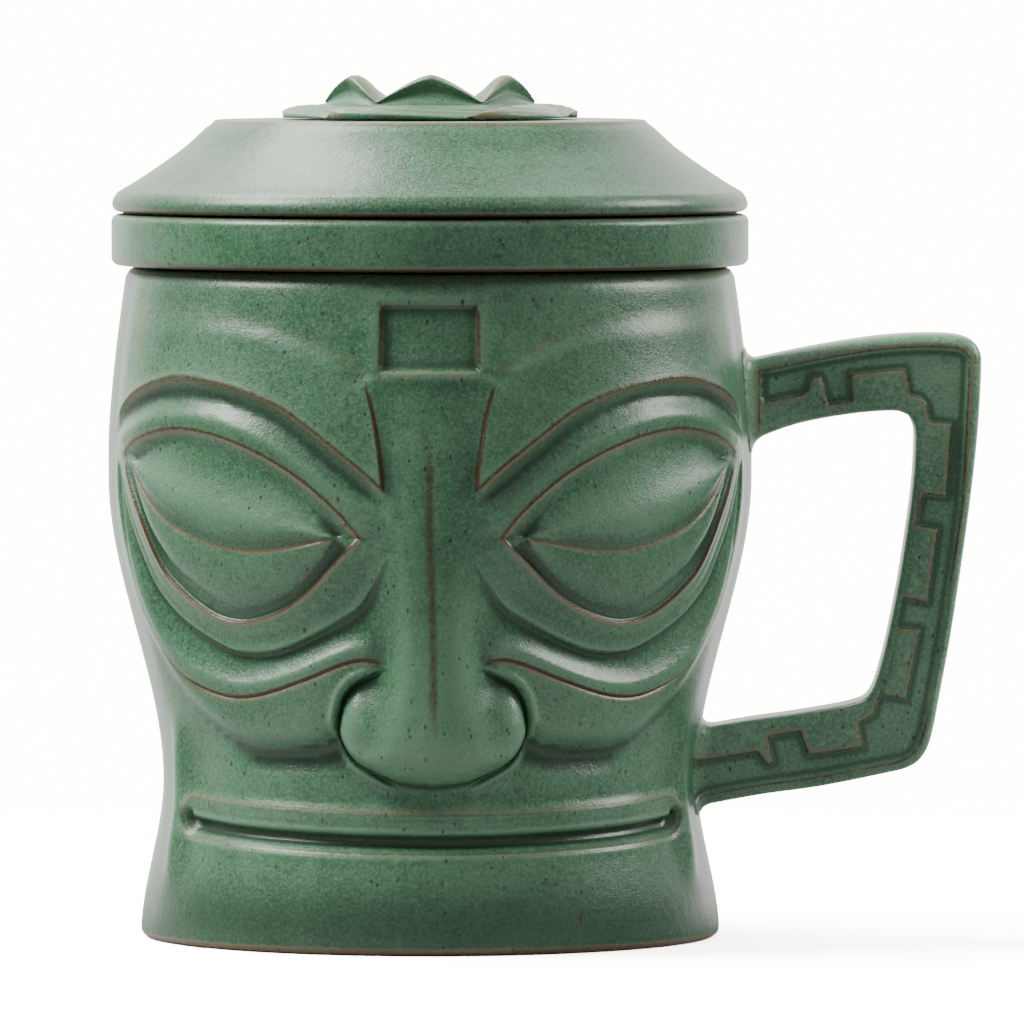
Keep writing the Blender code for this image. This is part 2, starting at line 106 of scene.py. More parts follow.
# The lines of one half of the face, each from the nose outwards
brow_top = flowing([
    (10.0, 86.0), (13, 88.1), (19.2, 90.8), (25.9, 92.9), (33.3, 94.1), (42.1, 94.8), (51, 95.0),
    (62, 94),
])
brow_inner = flowing([
    (6.4, 68.7), (6.7, 72), (7.6, 78.5), (8.7, 83), (10.0, 86.0),
])
brow_edge = flowing([
    (6.4, 68.7), (9.5, 71.7), (15.1, 76.4), (21.1, 80.7), (27.6, 83.2), (34.9, 84.6), (41, 84.8),
    (48.5, 83.1), (54, 80.9), (62, 76.5),
])
brow_hollow = flowing([
    (6.0, 66.0), (9.9, 68.6), (15.8, 73.4), (22.1, 77.9), (29, 80.6), (35.5, 81.8), (41.2, 81.8),
    (47.3, 81.2), (54, 79.0), (60, 76.0),
])
eye_top = flowing([
    (10.1, 61.9), (13.2, 65.7), (18.3, 70.2), (24.5, 73.8), (31.3, 76.2), (38, 77.2), (43.8, 76.8),
    (50, 75.4), (55.0, 73.4),
])
eye_bottom = flowing([
    (10.1, 61.9), (14.3, 57.8), (17.6, 54.5), (21.1, 51.9), (24.6, 50.3), (29.5, 49.1), (34.1, 49.4),
    (37.9, 50.9), (41.8, 53.3), (45.7, 56.8), (49.6, 63.7), (53.2, 69.6), (55.0, 73.4),
])
ball_top = flowing([
    (13.4, 61.8), (16.1, 65.3), (22.3, 69.6), (29.1, 72.9), (36.4, 74.9), (44.3, 74.8), (51.6, 72.4),
])
ball_bottom = flowing([
    (13.4, 61.8), (16.4, 57.9), (19.8, 54.9), (23.5, 52.7), (27.3, 51.5), (31.2, 51.2), (35, 52.3),
    (41.4, 55.9), (44.3, 58.5), (47.6, 63), (51.6, 72.4),
])
eye_ridge = flowing([
    (13.4, 61.8), (18.5, 60.8), (24.8, 59.8), (31.7, 60.1), (39.3, 62.3), (43.5, 64.4), (47.1, 67.3),
    (51.6, 72.4),
])
lid_fold = flowing([
    (6.3, 58.4), (10.2, 52.5), (13.3, 50.2), (20, 46.8), (25.5, 45.0), (31.1, 44.6), (35.1, 45.4),
    (43.1, 49.1), (48.3, 53.4), (51, 58.4), (55.1, 67.2), (57.5, 74.0), (59.5, 84), (61, 95),
])
fold_hollow = flowing([
    (5.6, 58.8), (8.3, 53.4), (12.3, 49.6), (19.5, 46.2), (25.3, 44.2), (31, 43.8), (36.2, 44.8),
    (42.5, 47.6), (48.0, 51.9), (51.9, 58.0), (55.7, 67), (58.0, 74.4), (60, 84), (61.5, 95),
])
cheek_line = flowing([
    (7.2, 42.5), (8.3, 43.5), (10.6, 43.8), (13.8, 43.1), (20.7, 40.5), (28.2, 38.3), (34.4, 37.8),
    (41.1, 39.2), (45.8, 41.2), (50.4, 45.3), (54.2, 54.0), (57.0, 64), (59, 74), (61, 84), (62.5, 95),
])
cheek_edge = flowing([
    (14.5, 32.6), (18.3, 30.6), (24, 29.8), (32.6, 29.9), (39.5, 32.0), (48, 37.0), (56, 46), (62, 55),
])
wing = flowing([
    (7.2, 42.5), (9.6, 41.5), (12.3, 40.1), (14.2, 37.8), (15.1, 34.6), (15.0, 31.8), (13.2, 28.9),
    (9.9, 26.9), (5.2, 25.1), (0, 24.4),
])

# Distances from every line, on a grid of the unrolled half face, from which any point's distance is read
grid_step, grid_start, grid_right, grid_top = 0.3, -0.9, 70.0, 102.0
grid_across = np.arange(grid_start, grid_right, grid_step)
grid_up = np.arange(grid_start, grid_top, grid_step)
grid_points = np.stack(np.meshgrid(grid_across, grid_up, indexing="ij"), -1).reshape(-1, 2)
tiny = 1e-12


def distance_from(points, line, closed=False):
    """Distance of points from a line, or from a closed outline, when it is more than 0 inside."""
    line = np.asarray(line, float)
    x, y = points.T
    nearest = np.full(len(points), 1e9)
    inside = np.zeros(len(points), bool)
    for a, b in zip(line, np.roll(line, -1, axis=0) if closed else line[1:]):
        along = b - a
        t = np.clip((points - a) @ along / max(along @ along, 1e-9), 0.0, 1.0)
        gap = points - a - t[:, None] * along
        nearest = np.minimum(nearest, gap[:, 0] ** 2 + gap[:, 1] ** 2)
        inside ^= ((a[1] > y) != (b[1] > y)) & (x < along[0] * (y - a[1]) / (along[1] + tiny) + a[0])
    nearest = np.sqrt(nearest)
    return np.where(inside, nearest, -nearest) if closed else nearest


def on_grid(line, closed=False):
    """Distance of every grid point from a line or a closed outline."""
    return distance_from(grid_points, line, closed).reshape(len(grid_across), len(grid_up))


def above(line):
    """Distance of every grid point from an open line run on level past its ends, more than 0 above it."""
    level = np.interp(grid_across, line[:, 0], line[:, 1])
    level_ends = np.vstack([[(grid_start - 0.1, line[0, 1])], line, [(grid_right, line[-1, 1])]])
    return on_grid(level_ends) * np.where(grid_up[None, :] > level[:, None], 1.0, -1.0)


lines = {
    "cheek_edge": cheek_edge, "cheek_line": cheek_line, "fold_hollow": fold_hollow, "lid_fold": lid_fold,
    "eye_bottom": eye_bottom, "ball_bottom": ball_bottom, "eye_ridge": eye_ridge, "ball_top": ball_top,
    "eye_top": eye_top, "brow_hollow": brow_hollow, "brow_edge": brow_edge, "brow_top": brow_top,
}
fields = {name: above(line) for name, line in lines.items()}
for name in ("brow_edge", "eye_top", "eye_bottom", "cheek_line", "eye_ridge", "lid_fold"):
    fields[name + "_only"] = on_grid(lines[name])
fields["brow_inner"] = on_grid(brow_inner)
fields["wing_line"] = on_grid(wing)
fields["brow"] = on_grid(np.vstack([brow_inner[:-1], brow_top, brow_edge[::-1][:-1]]), closed=True)
fields["eye"] = on_grid(np.vstack([eye_top, eye_bottom[::-1][1:-1]]), closed=True)
fields["ball"] = on_grid(np.vstack([ball_top, ball_bottom[::-1][1:-1]]), closed=True)
past_nose = -12.0  # the nose wing's outline is closed well past the middle of the nose
wing_closed = np.vstack([wing, [(past_nose, wing[-1, 1]), (past_nose, wing[0, 1])]])
fields["wing"] = on_grid(wing_closed, closed=True)


def reader(across, up):
    """Gives a function that reads a named distance at the given points."""
    i = np.clip((across - grid_across[0]) / grid_step, 0, len(grid_across) - 1.001)
    k = np.clip((up - grid_up[0]) / grid_step, 0, len(grid_up) - 1.001)
    i0, k0 = i.astype(int), k.astype(int)
    ti, tk = i - i0, k - k0

    def read(name):
        f = fields[name]
        low = f[i0, k0] * (1 - ti) + f[i0 + 1, k0] * ti
        high = f[i0, k0 + 1] * (1 - ti) + f[i0 + 1, k0 + 1] * ti
        return low * (1 - tk) + high * tk

    return read


def lean(up):
    """The middle of the hand-finished face wanders a little to one side."""
    return 0.25 + 0.5 * ease((70.0 - up) / 30.0)


# How far the nose, its wings and the lips stand out, and how wide the nose is, at a few heights or distances
nose_proud = (
    (22, 0.0), (24.0, 0.3), (25.2, 3.2), (27.0, 6.3), (29.2, 8.3), (32, 8.4), (36, 7.7), (42, 6.4),
    (50, 4.5), (60, 2.6), (70, 1.5), (80, 0.9), (86, 0.5), (90, 0.0),
)
nose_half = (
    (24, 19), (29, 17.5), (34, 14.0), (40, 10.8), (46, 9.6), (55, 9.2), (66, 9.0), (86, 8.6),
)
wing_proud = (
    (24.2, 0.6), (25.6, 3.0), (27.5, 4.7), (30.0, 5.4), (33.5, 5.0), (37.0, 3.7), (40.5, 2.4),
    (43.0, 1.5),
)
valley_floor = (
    (26, 0.0), (38, -0.3), (47, -0.9), (53, -0.5), (58, 0.2), (63, 0.2), (69, -0.6), (78, -0.3), (86, 0.0),
)
forehead_half, forehead_low, forehead_high = 6.9, 86.3, 95.8
mouth_end, mouth_middle = 51.0, 18.3
upper_lip = (
    (0, 0.35), (0.8, 0.50), (1.7, 0.56), (2.2, 0.66), (2.9, 0.50), (3.9, 0.14), (5.2, 0.0),
)
lower_lip = (
    (0, 0.35), (0.4, 0.05), (0.9, -0.90), (1.6, -1.50), (2.2, -1.35), (3.1, -0.45), (3.6, -0.02),
    (4.2, 0.10), (5.2, 0.0),
)


def track(place, stations):
    """A value given at a few places, straight between them."""
    return np.interp(place, *zip(*stations))


def soft_max(a, b, width):
    """The higher of two surfaces, with a fillet of about this width between them."""
    t = np.clip(0.5 + 0.5 * (a - b) / width, 0.0, 1.0)
    return b + (a - b) * t + width * t * (1.0 - t)


def mouth_droop(across):
    """How far the closed mouth rises towards its ends."""
    return 1.5 * (np.minimum(across, mouth_end) / 50.0) ** 2


def from_mouth(across, up):
    """Height above the line of the mouth, and distance from that line with its round ends."""
    level = up - mouth_droop(across) - mouth_middle
    return level, np.hypot(np.maximum(across - mouth_end + 2.6, 0.0), level)


def rise(t):
    """A quarter circle: steep at first, then level."""
    t = np.clip(t, 0.0, 1.0)
    return np.sqrt(1.0 - (1.0 - t) ** 2)


def relief(across, up):
    """How far the face stands out of the wall at these points, in millimetres."""
    across = np.abs(across - lean(up))
    read = reader(across, up)
    over = {name: read(name) for name in lines}
    gap = {name: np.abs(over[name]) for name in lines}

    def between(low, high):
        """0 on the lower line, 1 on the upper one."""
        return gap[low] / (gap[low] + gap[high] + 1e-6)

    # the surface between each two lines, from the cheek up
    t = between("cheek_line", "fold_hollow")
    bag_room = ease((gap["cheek_line"] + gap["fold_hollow"] - 0.5) / 4.0)
    bag = -1.6 + 3.6 * bag_room * np.clip((1.0 - t) / 0.70, 0.0, 1.0)
    t = between("fold_hollow", "lid_fold")
    under_lid = -1.6 + 2.0 * t**1.5
    t = between("lid_fold", "eye_bottom")
    lid = 0.40 + 0.40 * ease(t) - 0.30 * bell(t - 0.32, 0.18) - 0.20 * bell(t - 0.74, 0.13)
    t = between("eye_bottom", "ball_bottom")
    trench = (-0.35 - 0.28 * np.sin(math.pi * np.clip(t, 0, 1)) ** 0.8) * ease((across - 9.5) / 5.0)
    t = between("ball_bottom", "eye_ridge")
    lower_ball = -0.35 + 1.40 * rise(t / 0.45) - 0.40 * ease((t - 0.80) / 0.2)
    t = between("eye_ridge", "ball_top")
    dome = -1.25 + 3.1 * ease((1.0 - t) / 0.85) ** 0.9 - 0.95 * (1 - ease(t / 0.42))
    t = between("ball_top", "eye_top")
    bevel = -1.05 + 1.85 * t**1.5
    t = between("eye_top", "brow_hollow")
    roll = -0.9 + 2.1 * (0.55 * rise((1.0 - t) / 0.7) + 0.45 * ease((1.0 - t) / 0.6))
    roll = roll - 0.4 * (1 - ease(t / 0.45))
    t = between("brow_hollow", "brow_edge")
    cove = -1.0 + 2.7 * t**1.9
    soft = 1.0 + 2.4 * ease((across - 12.0) / 30.0)
    plate = 0.70 * ease(gap["brow_top"] / soft) + 0.95 * np.exp(-gap["brow_edge"] / 5.0)
    plate = plate * (1.0 - bell(np.hypot(across - 10.0, up - 86.0), 2.0))
    lip = -2.3 * np.exp(-((gap["cheek_edge"] / 2.6) ** 1.6)) * (1 - ease((across - 26.0) / 16.0))
    lip = lip + 0.55 * bell(up - 25.6, 1.7) * bell(across - 24.0, 12.0)
    full = 1.0 - 0.35 * ease((across - 36.0) / 12.0)
    swell = 0.4 * rise(gap["cheek_edge"] / 3.4) + 0.6 * ease(gap["cheek_edge"] / 3.0)
    cheek = -0.5 * full + 2.6 * full * swell
    cheek = cheek - 0.40 * bell(gap["cheek_line"], 0.50)
    # each line steps up to the surface over it, softly past the line's own ends
    h = lip
    for name, surface, width, start, end, spread_out in (
        ("cheek_edge", cheek, 2.2, 14.6, None, 0.0),
        ("cheek_line", bag, 0.3, 7.4, None, 0.0),
        ("fold_hollow", under_lid, 0.2, 5.8, None, 0.0),
        ("lid_fold", lid, 0.35, 6.3, None, 0.0),
        ("eye_bottom", trench, 0.5, 10.1, 55.0, 8.0),
        ("ball_bottom", lower_ball, 0.2, 13.4, 51.6, 3.0),
        ("eye_ridge", dome, 0.5, 13.4, 51.6, 8.0),
        ("ball_top", bevel, 0.2, 13.4, 51.6, 3.0),
        ("eye_top", roll, 0.35, 10.1, 55.0, 8.0),
        ("brow_hollow", cove, 0.2, 6.0, 56.5, 8.0),
        ("brow_edge", plate, 0.3, 6.4, 57.5, 8.0),
        ("brow_top", 0.0 * up, 0.8, 9.8, None, 0.0),
    ):
        loose = 3.5 * ease((start + 0.3 - across) / 2.5)
        if end:
            loose = loose + spread_out * ease((across - end + 1.2) / 3.5)
        step = ease(over[name] / (width + loose) + 0.5)
        h = h * (1.0 - step) + surface * step
    h = h * (1.0 - 0.45 * ease((across - 46.0) / 14.0))
    # the features sink into the valley beside the nose, then the nose rises out of it
    beside = 6.6 + 0.9 * ease((52.0 - up) / 8.0) + 3.0 * ease((up - 82.0) / 8.0)
    sink = ease((across - beside + 2.6) / 5.6)
    keep = np.maximum(sink, ease(read("brow") / (0.45 + 2.5 * ease((up - 81.0) / 5.0)) + 0.6))
    h = h * keep + track(up, valley_floor) * (1.0 - keep)
    t = across / track(up, nose_half)
    snout = track(up, nose_proud) * (1.0 - 0.30 * np.minimum(t, 1.4)) * (1.0 - ease((t - 0.30) / 0.85)) - 0.4
    wing_in = read("wing")
    hollow = 0.5 * bell(np.hypot(across - 8.8, up - 39.4), 2.6)
    wing = track(up, wing_proud) * rise(wing_in / 4.6) - hollow
    snout = (snout + 1.0) * (1.0 - (1.0 - ease(wing_in / 2.6 + 0.35)) * ease((41.0 - up) / 5.0)) - 1.0
    curl = ease(wing_in / 0.5 + 0.3) * ease((43.2 - up) / 1.5)
    h = h * (1.0 - curl) + np.minimum(h, 0.4) * curl
    h = soft_max(h, wing * curl - 2.0 * (1 - curl), 0.5)
    h = soft_max(h, snout, 2.4)
    rim = read("wing_line")
    along_rim = ease((43.4 - up) / 2.5) * ease((across - 5.0) / 4.0)
    h += (0.65 * bell(np.where(wing_in < 0, rim - 0.85, far_off), 0.6) - 0.40 * bell(rim, 0.45)) * along_rim
    h -= 0.16 * bell(across, 0.9) * ease((up - 26.0) / 6.0) * ease((84.0 - up) / 8.0)
    # forehead tablet: sunk a little, its frame standing out beside it
    inside = np.minimum(forehead_half - across, np.minimum(up - forehead_low, forehead_high - up))
    h += 0.30 * bell(inside + 1.0, 1.2) - 0.70 * ease(inside / 0.9 + 0.45)
    # mouth
    level, from_middle = from_mouth(across, up)
    upper = ease(0.5 + level / 2.4)
    h += track(from_middle, upper_lip) * upper + track(from_middle, lower_lip) * (1.0 - upper)
    # corners of the jaw, and the flat panel between them
    corner = bell(across - 53.5, 2.8) * ease((up - 7.0) / 9.0) * ease((36.0 - up) / 10.0)
    panel = bell(across - 46.0, 6.5) * ease((up - 5.0) / 8.0) * ease((34.0 - up) / 6.0)
    h += 1.25 * corner - 0.35 * panel
    fade = 1.0 - ease((across - 55.0) / 7.5)
    return h * fade * ease((body_height - up) / 3.0) * ease(up / 6.0)


def glaze_and_shading_marks(across, up):
    """Where the glaze breaks brown and thins to beige, 0 to 1, and how dark it is, from -1 light to 1 dark:
    pooled or thin glaze, with painted shade and painted highlights.
    """
    here = relief(across, up)
    around = 0.0 * up
    for reach in (0.6, 1.8):
        for turn in np.arange(8) * math.pi / 4:
            around += relief(across + reach * math.cos(turn), up + reach * math.sin(turn)) / 16
    hollow = around - here
    across = np.abs(across - lean(up))
    read = reader(across, up)
    brow, eye, cheek, ridge = read("brow"), read("eye"), read("cheek_line"), read("eye_ridge")
    edge, top, bottom = np.abs(read("brow_edge")), read("eye_top_only"), read("eye_bottom_only")
    inner = 1.0 - ease((across - 52.0) / 7.0)
    level, from_middle = from_mouth(across, up)
    in_ball = ease(read("ball") / 0.4)
    in_tablet = ease((forehead_half + 0.6 - across) / 0.6)
    tablet_up = ease((up - forehead_low - 0.2) / 1.0) * ease((forehead_high - up) / 1.0)
    from_nose = ease((across - 8.0) / 2.0)
    brown = np.maximum.reduce([
        0.72 * bell(np.where(brow > -0.1, edge, far_off) - 0.15, 0.45),
        1.0 * bell(read("brow_inner"), 0.34) * ease((86.0 - up) / 3.5),
        0.75 * bell(np.where(eye < 0.1, top, far_off) - 0.15, 0.40),
        1.0 * bell(np.where(eye > 0.0, bottom, -bottom) + 0.12, 0.24),
        0.95 * bell(np.where(cheek > -0.4, np.abs(cheek), far_off), 0.34) * ease((across - 7.3) / 1.2),
        0.50 * bell(ridge - 0.25, 0.45) * in_ball,
        0.62 * bell(across, 0.90) * ease((82.0 - up) / 12.0) * ease((up - 27.0) / 12.0),
        0.75 * bell(across - forehead_half - 0.1, 0.45) * tablet_up,
        0.55 * bell(from_middle - 3.4, 0.35) * (level < 0.0),
        0.50 * bell(from_middle - 2.3, 0.30) * (level > 0.0),
        0.45 * bell(level + 1.7, 0.7) * bell(across, 24.0),
        0.35 * bell(read("wing_line"), 0.4) * ease((across - 6.5) / 3.0),
    ]) * inner
    beige = np.maximum.reduce([
        0.80 * bell(np.where(brow < 0.0, edge, far_off) - 0.45, 0.36) * ease((across - 6.6) / 0.8),
        0.80 * bell(np.where(eye > 0.0, top, far_off) - 0.40, 0.34),
        0.65 * bell(np.where(eye < 0.0, bottom, far_off) - 0.45, 0.38),
        0.65 * bell(np.where(cheek < 0.0, -cheek, far_off) - 0.55, 0.4) * from_nose,
        0.65 * bell(np.where(ridge < 0.2, -ridge, far_off) - 0.25, 0.5) * in_ball,
        0.38 * bell(read("brow_top") - 0.3, 0.9) * (brow > -1.2),
        0.34 * (bell(up - forehead_high - 0.1, 0.6) + bell(up - forehead_low + 0.3, 0.9)) * in_tablet,
        0.48 * bell(from_middle - 2.8, 0.55) * (level > 0.0),
        0.25 * bell(from_middle - 3.9, 0.45) * (level < 0.0),
        0.35 * bell(up - 36.0, 4.0) * bell(across, 0.8),
    ]) * inner
    beige = np.maximum(beige, 0.8 * ease((up - body_height + 1.2) / 0.5))
    # darker in hollows where the glaze pools and lighter on rounded edges where it runs thin; darker towards
    # the foot; lighter where the face stands out
    pool_and_shading = np.clip(hollow / 0.35, -1.0, 1.0) + 0.75 * bell(up - 5.0, 6.5) - 0.10 * np.clip(here, 0.0, 8.0)
    # painted shade in the recess under the cheek beside the nose
    pool_and_shading += 1.4 * bell(read("cheek_edge") + 1.4, 1.9) * bell(across - 23.0, 9.0)
    # painted light along the underside of the nose wings
    pool_and_shading -= 0.8 * bell(read("wing") + 0.9, 0.6) * ease((43.0 - up) / 2.0)
    # painted shade in the groove of the mouth
    pool_and_shading += 0.5 * bell(level + 1.6, 0.9) * (across < mouth_end)
    # painted shade in a band above the eye's ridge, and a painted sheen on the middle of the eyeball
    pool_and_shading += in_ball * (0.7 * bell(ridge - 1.2, 1.1) * (ridge > 0.0) - 0.75 * bell(ridge - 6.5, 4.0))
    pool_and_shading = np.clip(pool_and_shading, -1.0, 1.0)
    beige = beige + 0.18 * np.clip(-hollow / 0.35, 0.0, 1.0)
    foot = ease((0.8 - up) / 0.5)
    return np.clip(np.maximum(brown, 0.40 * foot), 0, 1), np.clip(np.maximum(beige, 0.9 * foot), 0, 1), pool_and_shading


sharp_lines = (
    "brow_edge_only", "brow_inner", "eye_top_only", "eye_bottom_only", "cheek_line_only", "eye_ridge_only",
    "wing_line", "lid_fold_only",
)
tablet_middle, tablet_reach = 91.0, 4.8  # height of the forehead tablet's middle, and from there to its edges


def sharpness(across, up):
    """Distance from the nearest sharp line of the face."""
    across = np.abs(across - lean(up))
    read = reader(across, up)
    near = np.min([read(name) for name in sharp_lines], axis=0)
    tablet = np.abs(np.maximum(across - forehead_half, np.abs(up - tablet_middle) - tablet_reach))
    mouth = np.where(across < mouth_end + 1.0, np.abs(up - 18.0) - 3.4, far_off)
    nose_line = np.where((up > 24) & (up < 88), across, far_off)
    return np.minimum.reduce([near, tablet, mouth, nose_line])


cell, back_columns, wall_rows, cavity_rows = 1.0, 51, 98, 29
above_wall, below_wall = 200.0, -1.0  # where the sheet's rows past the two ends of the wall are numbered from


def curved(centre, radius, start, end, steps=6):
    """Points of an arc in a turned profile, in degrees."""
    turns = np.radians(np.linspace(start, end, steps + 1))
    return [(centre[0] + radius * math.cos(t), centre[1] + radius * math.sin(t)) for t in turns]


def unrolled_body():
    """The body as a sheet: columns across, rows up the wall, and numbered rows past its ends for the rest."""
    half_turn = math.pi * unroll_radius
    front = np.arange(-face_half, face_half + 0.1, cell)
    back = np.linspace(face_half, 2 * half_turn - face_half, back_columns + 1)[1:]
    outer_high, cavity_low = body_height - edge_round, floor_height + floor_round
    inner_rim = float(cavity_radius(body_height))
    beyond_top = curved((rim_radius - edge_round, outer_high), edge_round, 0, 90, 4)[1:]
    beyond_top += curved((inner_rim + edge_round, outer_high), edge_round, 90, 180, 4)
    for up in np.linspace(outer_high, cavity_low, cavity_rows + 1)[1:]:
        beyond_top.append((float(cavity_radius(up)), up))
    corner = float(cavity_radius(cavity_low)) - floor_round
    beyond_top += curved((corner, cavity_low), floor_round, 0, -90, 6)[1:]
    beyond_top += [(corner * s, floor_height) for s in (0.75, 0.5, 0.25, 0.0)]
    beyond_low = curved((foot_radius - edge_round, edge_round), edge_round, 0, -90, 4)[1:]
    beyond_low += [(foot_ring_inside, 0.0), (foot_ring_inside - 0.9, foot_recess)]
    beyond_low += [(r, foot_recess) for r in (39.0, 30.0, 15.0, 0.0)]
    rows = [below_wall - k for k in reversed(range(len(beyond_low)))]
    rows += list(np.linspace(edge_round, outer_high, wall_rows))
    rows += [above_wall + k for k in range(len(beyond_top))]
    return np.concatenate([front, back]), np.array(rows), beyond_low, beyond_top


def build_body():
    """Splits the sheet along the sharp lines, rolls it up and stores glaze marks and painted shading on its
    points.
    """
    columns, ys, beyond_low, beyond_top = unrolled_body()
    sheet = bmesh.new()
    verts = [[sheet.verts.new((x, y, 0.0)) for y in ys] for x in columns]
    for i in range(len(columns) - 1):
        for k in range(len(ys) - 1):
            sheet.faces.new((verts[i][k], verts[i + 1][k], verts[i + 1][k + 1], verts[i][k + 1]))
    for reach, size in ((2.6, cell), (1.05, cell / 2), (0.42, cell / 4)):
        sheet.faces.ensure_lookup_table()
        middles = np.array([f.calc_center_median()[:2] for f in sheet.faces])
        widths = np.array([abs(f.verts[0].co.x - f.verts[2].co.x) for f in sheet.faces])
        of_size = (widths < 1.2 * cell) & (widths > 0.8 * size)
        on_wall = (middles[:, 1] > edge_round + 1.2) & (middles[:, 1] < body_height - 2.5)
        on_face = (np.abs(middles[:, 0]) < face_half - 3.0) & on_wall & of_size
        near = np.zeros(len(middles), bool)
        near[on_face] = sharpness(middles[on_face, 0], middles[on_face, 1]) < reach
        edges = {e for f, use in zip(sheet.faces, near) if use for e in f.edges}
        bmesh.ops.subdivide_edges(sheet, edges=list(edges), cuts=1, use_grid_fill=True)
    mesh = bpy.data.meshes.new("mug_body_glazed")
    sheet.to_mesh(mesh)
    sheet.free()
    flat = np.empty(len(mesh.vertices) * 3)
    mesh.vertices.foreach_get("co", flat)
    flat = flat.reshape(-1, 3)
    across, y = flat[:, 0], flat[:, 1]
    outside = (y > 0) & (y < above_wall - 1.0)
    up = np.where(outside, y, 0.0)
    radius = np.where(outside, wall_radius(up), 0.0)
    marks = np.zeros((len(y), 3))
    face = outside & (np.abs(across) < face_half + 1)
    radius[face] += relief(across[face], up[face])
    marks[face] = np.stack(glaze_and_shading_marks(across[face], up[face]), -1)
    for k, (r, z) in enumerate(beyond_low):
        row = np.abs(y - (below_wall - k)) < 0.1
        radius[row], up[row] = r, z
        marks[row] = (0.40, 0.9, 0.0)
    for k, (r, z) in enumerate(beyond_top):
        row = np.abs(y - (above_wall + k)) < 0.1
        radius[row], up[row] = r, z
        marks[row] = (0.0, 0.5 if k < 8 else 0.0, 0.0)
    turn = across / unroll_radius
    placed = np.stack([radius * np.sin(turn), -radius * np.cos(turn), up], -1) * MM
    mesh.vertices.foreach_set("co", placed.ravel())
    return finished_piece(mesh, marks, seam=2e-6)


def finished_piece(mesh, marks, seam=None):
    """Keeps brown, beige and pooling with painted shading on the points, joins the seam, turns the faces out
    and places the piece.
    """
    layer = mesh.attributes.new("glaze_and_shading_marks", "FLOAT_VECTOR", "POINT")
    layer.data.foreach_set("vector", np.ascontiguousarray(marks, dtype=np.float32).ravel())
    closing = bmesh.new()
    closing.from_mesh(mesh)
    if seam:
        bmesh.ops.remove_doubles(closing, verts=closing.verts, dist=seam)
    bmesh.ops.recalc_face_normals(closing, faces=closing.faces)
    closing.to_mesh(mesh)
    closing.free()
    mesh.shade_smooth()
    piece = bpy.data.objects.new(mesh.name, mesh)
    bpy.context.scene.collection.objects.link(piece)
    return piece


class Nodes:
    """Short ways to lay out the nodes of one material, or of the room."""

    def __init__(self, owner):
        owner.use_nodes = True
        self.owner, self.tree = owner, owner.node_tree

    def link(self, source, target):
        self.tree.links.new(source, target)

    def add(self, kind, values=(), **settings):
        node = self.tree.nodes.new(kind)
        for key, value in settings.items():
            setattr(node, key, value)
        for key, value in dict(values).items():
            if hasattr(value, "node"):
                self.link(value, node.inputs[key])
            else:
                node.inputs[key].default_value = value
        return node

    def math(self, how, a, b=0.0, c=0.0):
        return self.add("ShaderNodeMath", {0: a, 1: b, 2: c}, operation=how).outputs[0]

    def ramp(self, value, low, high, least=0.0, most=1.0):
        """The least below low, the most above high, smooth between."""
        values = {"Value": value, "From Min": low, "From Max": high, "To Min": least, "To Max": most}
        return self.add("ShaderNodeMapRange", values, interpolation_type="SMOOTHSTEP").outputs["Result"]

    def mix(self, share, a, b):
        """Colour a where the share is 0, b where it is 1."""
        return self.add("ShaderNodeMix", {0: share, 6: a, 7: b}, data_type="RGBA").outputs[2]

    def noise(self, place, size, detail=2.0, rough=0.5):
        """Cloudy pattern whose patches are about this many millimetres."""
        values = {"Vector": place, "Scale": 1000.0 / size, "Detail": detail, "Roughness": rough}
        return self.add("ShaderNodeTexNoise", values).outputs["Fac"]


beige_glaze, brown_glaze = (0.300, 0.190, 0.125), (0.070, 0.024, 0.009)
# spacing of the iron specks in mm, share left out, size as a share of the spacing, colour
iron_specks = ((0.9, 0.62, 0.34, (0.026, 0.026, 0.013)), (2.0, 0.66, 0.20, (0.066, 0.024, 0.011)))


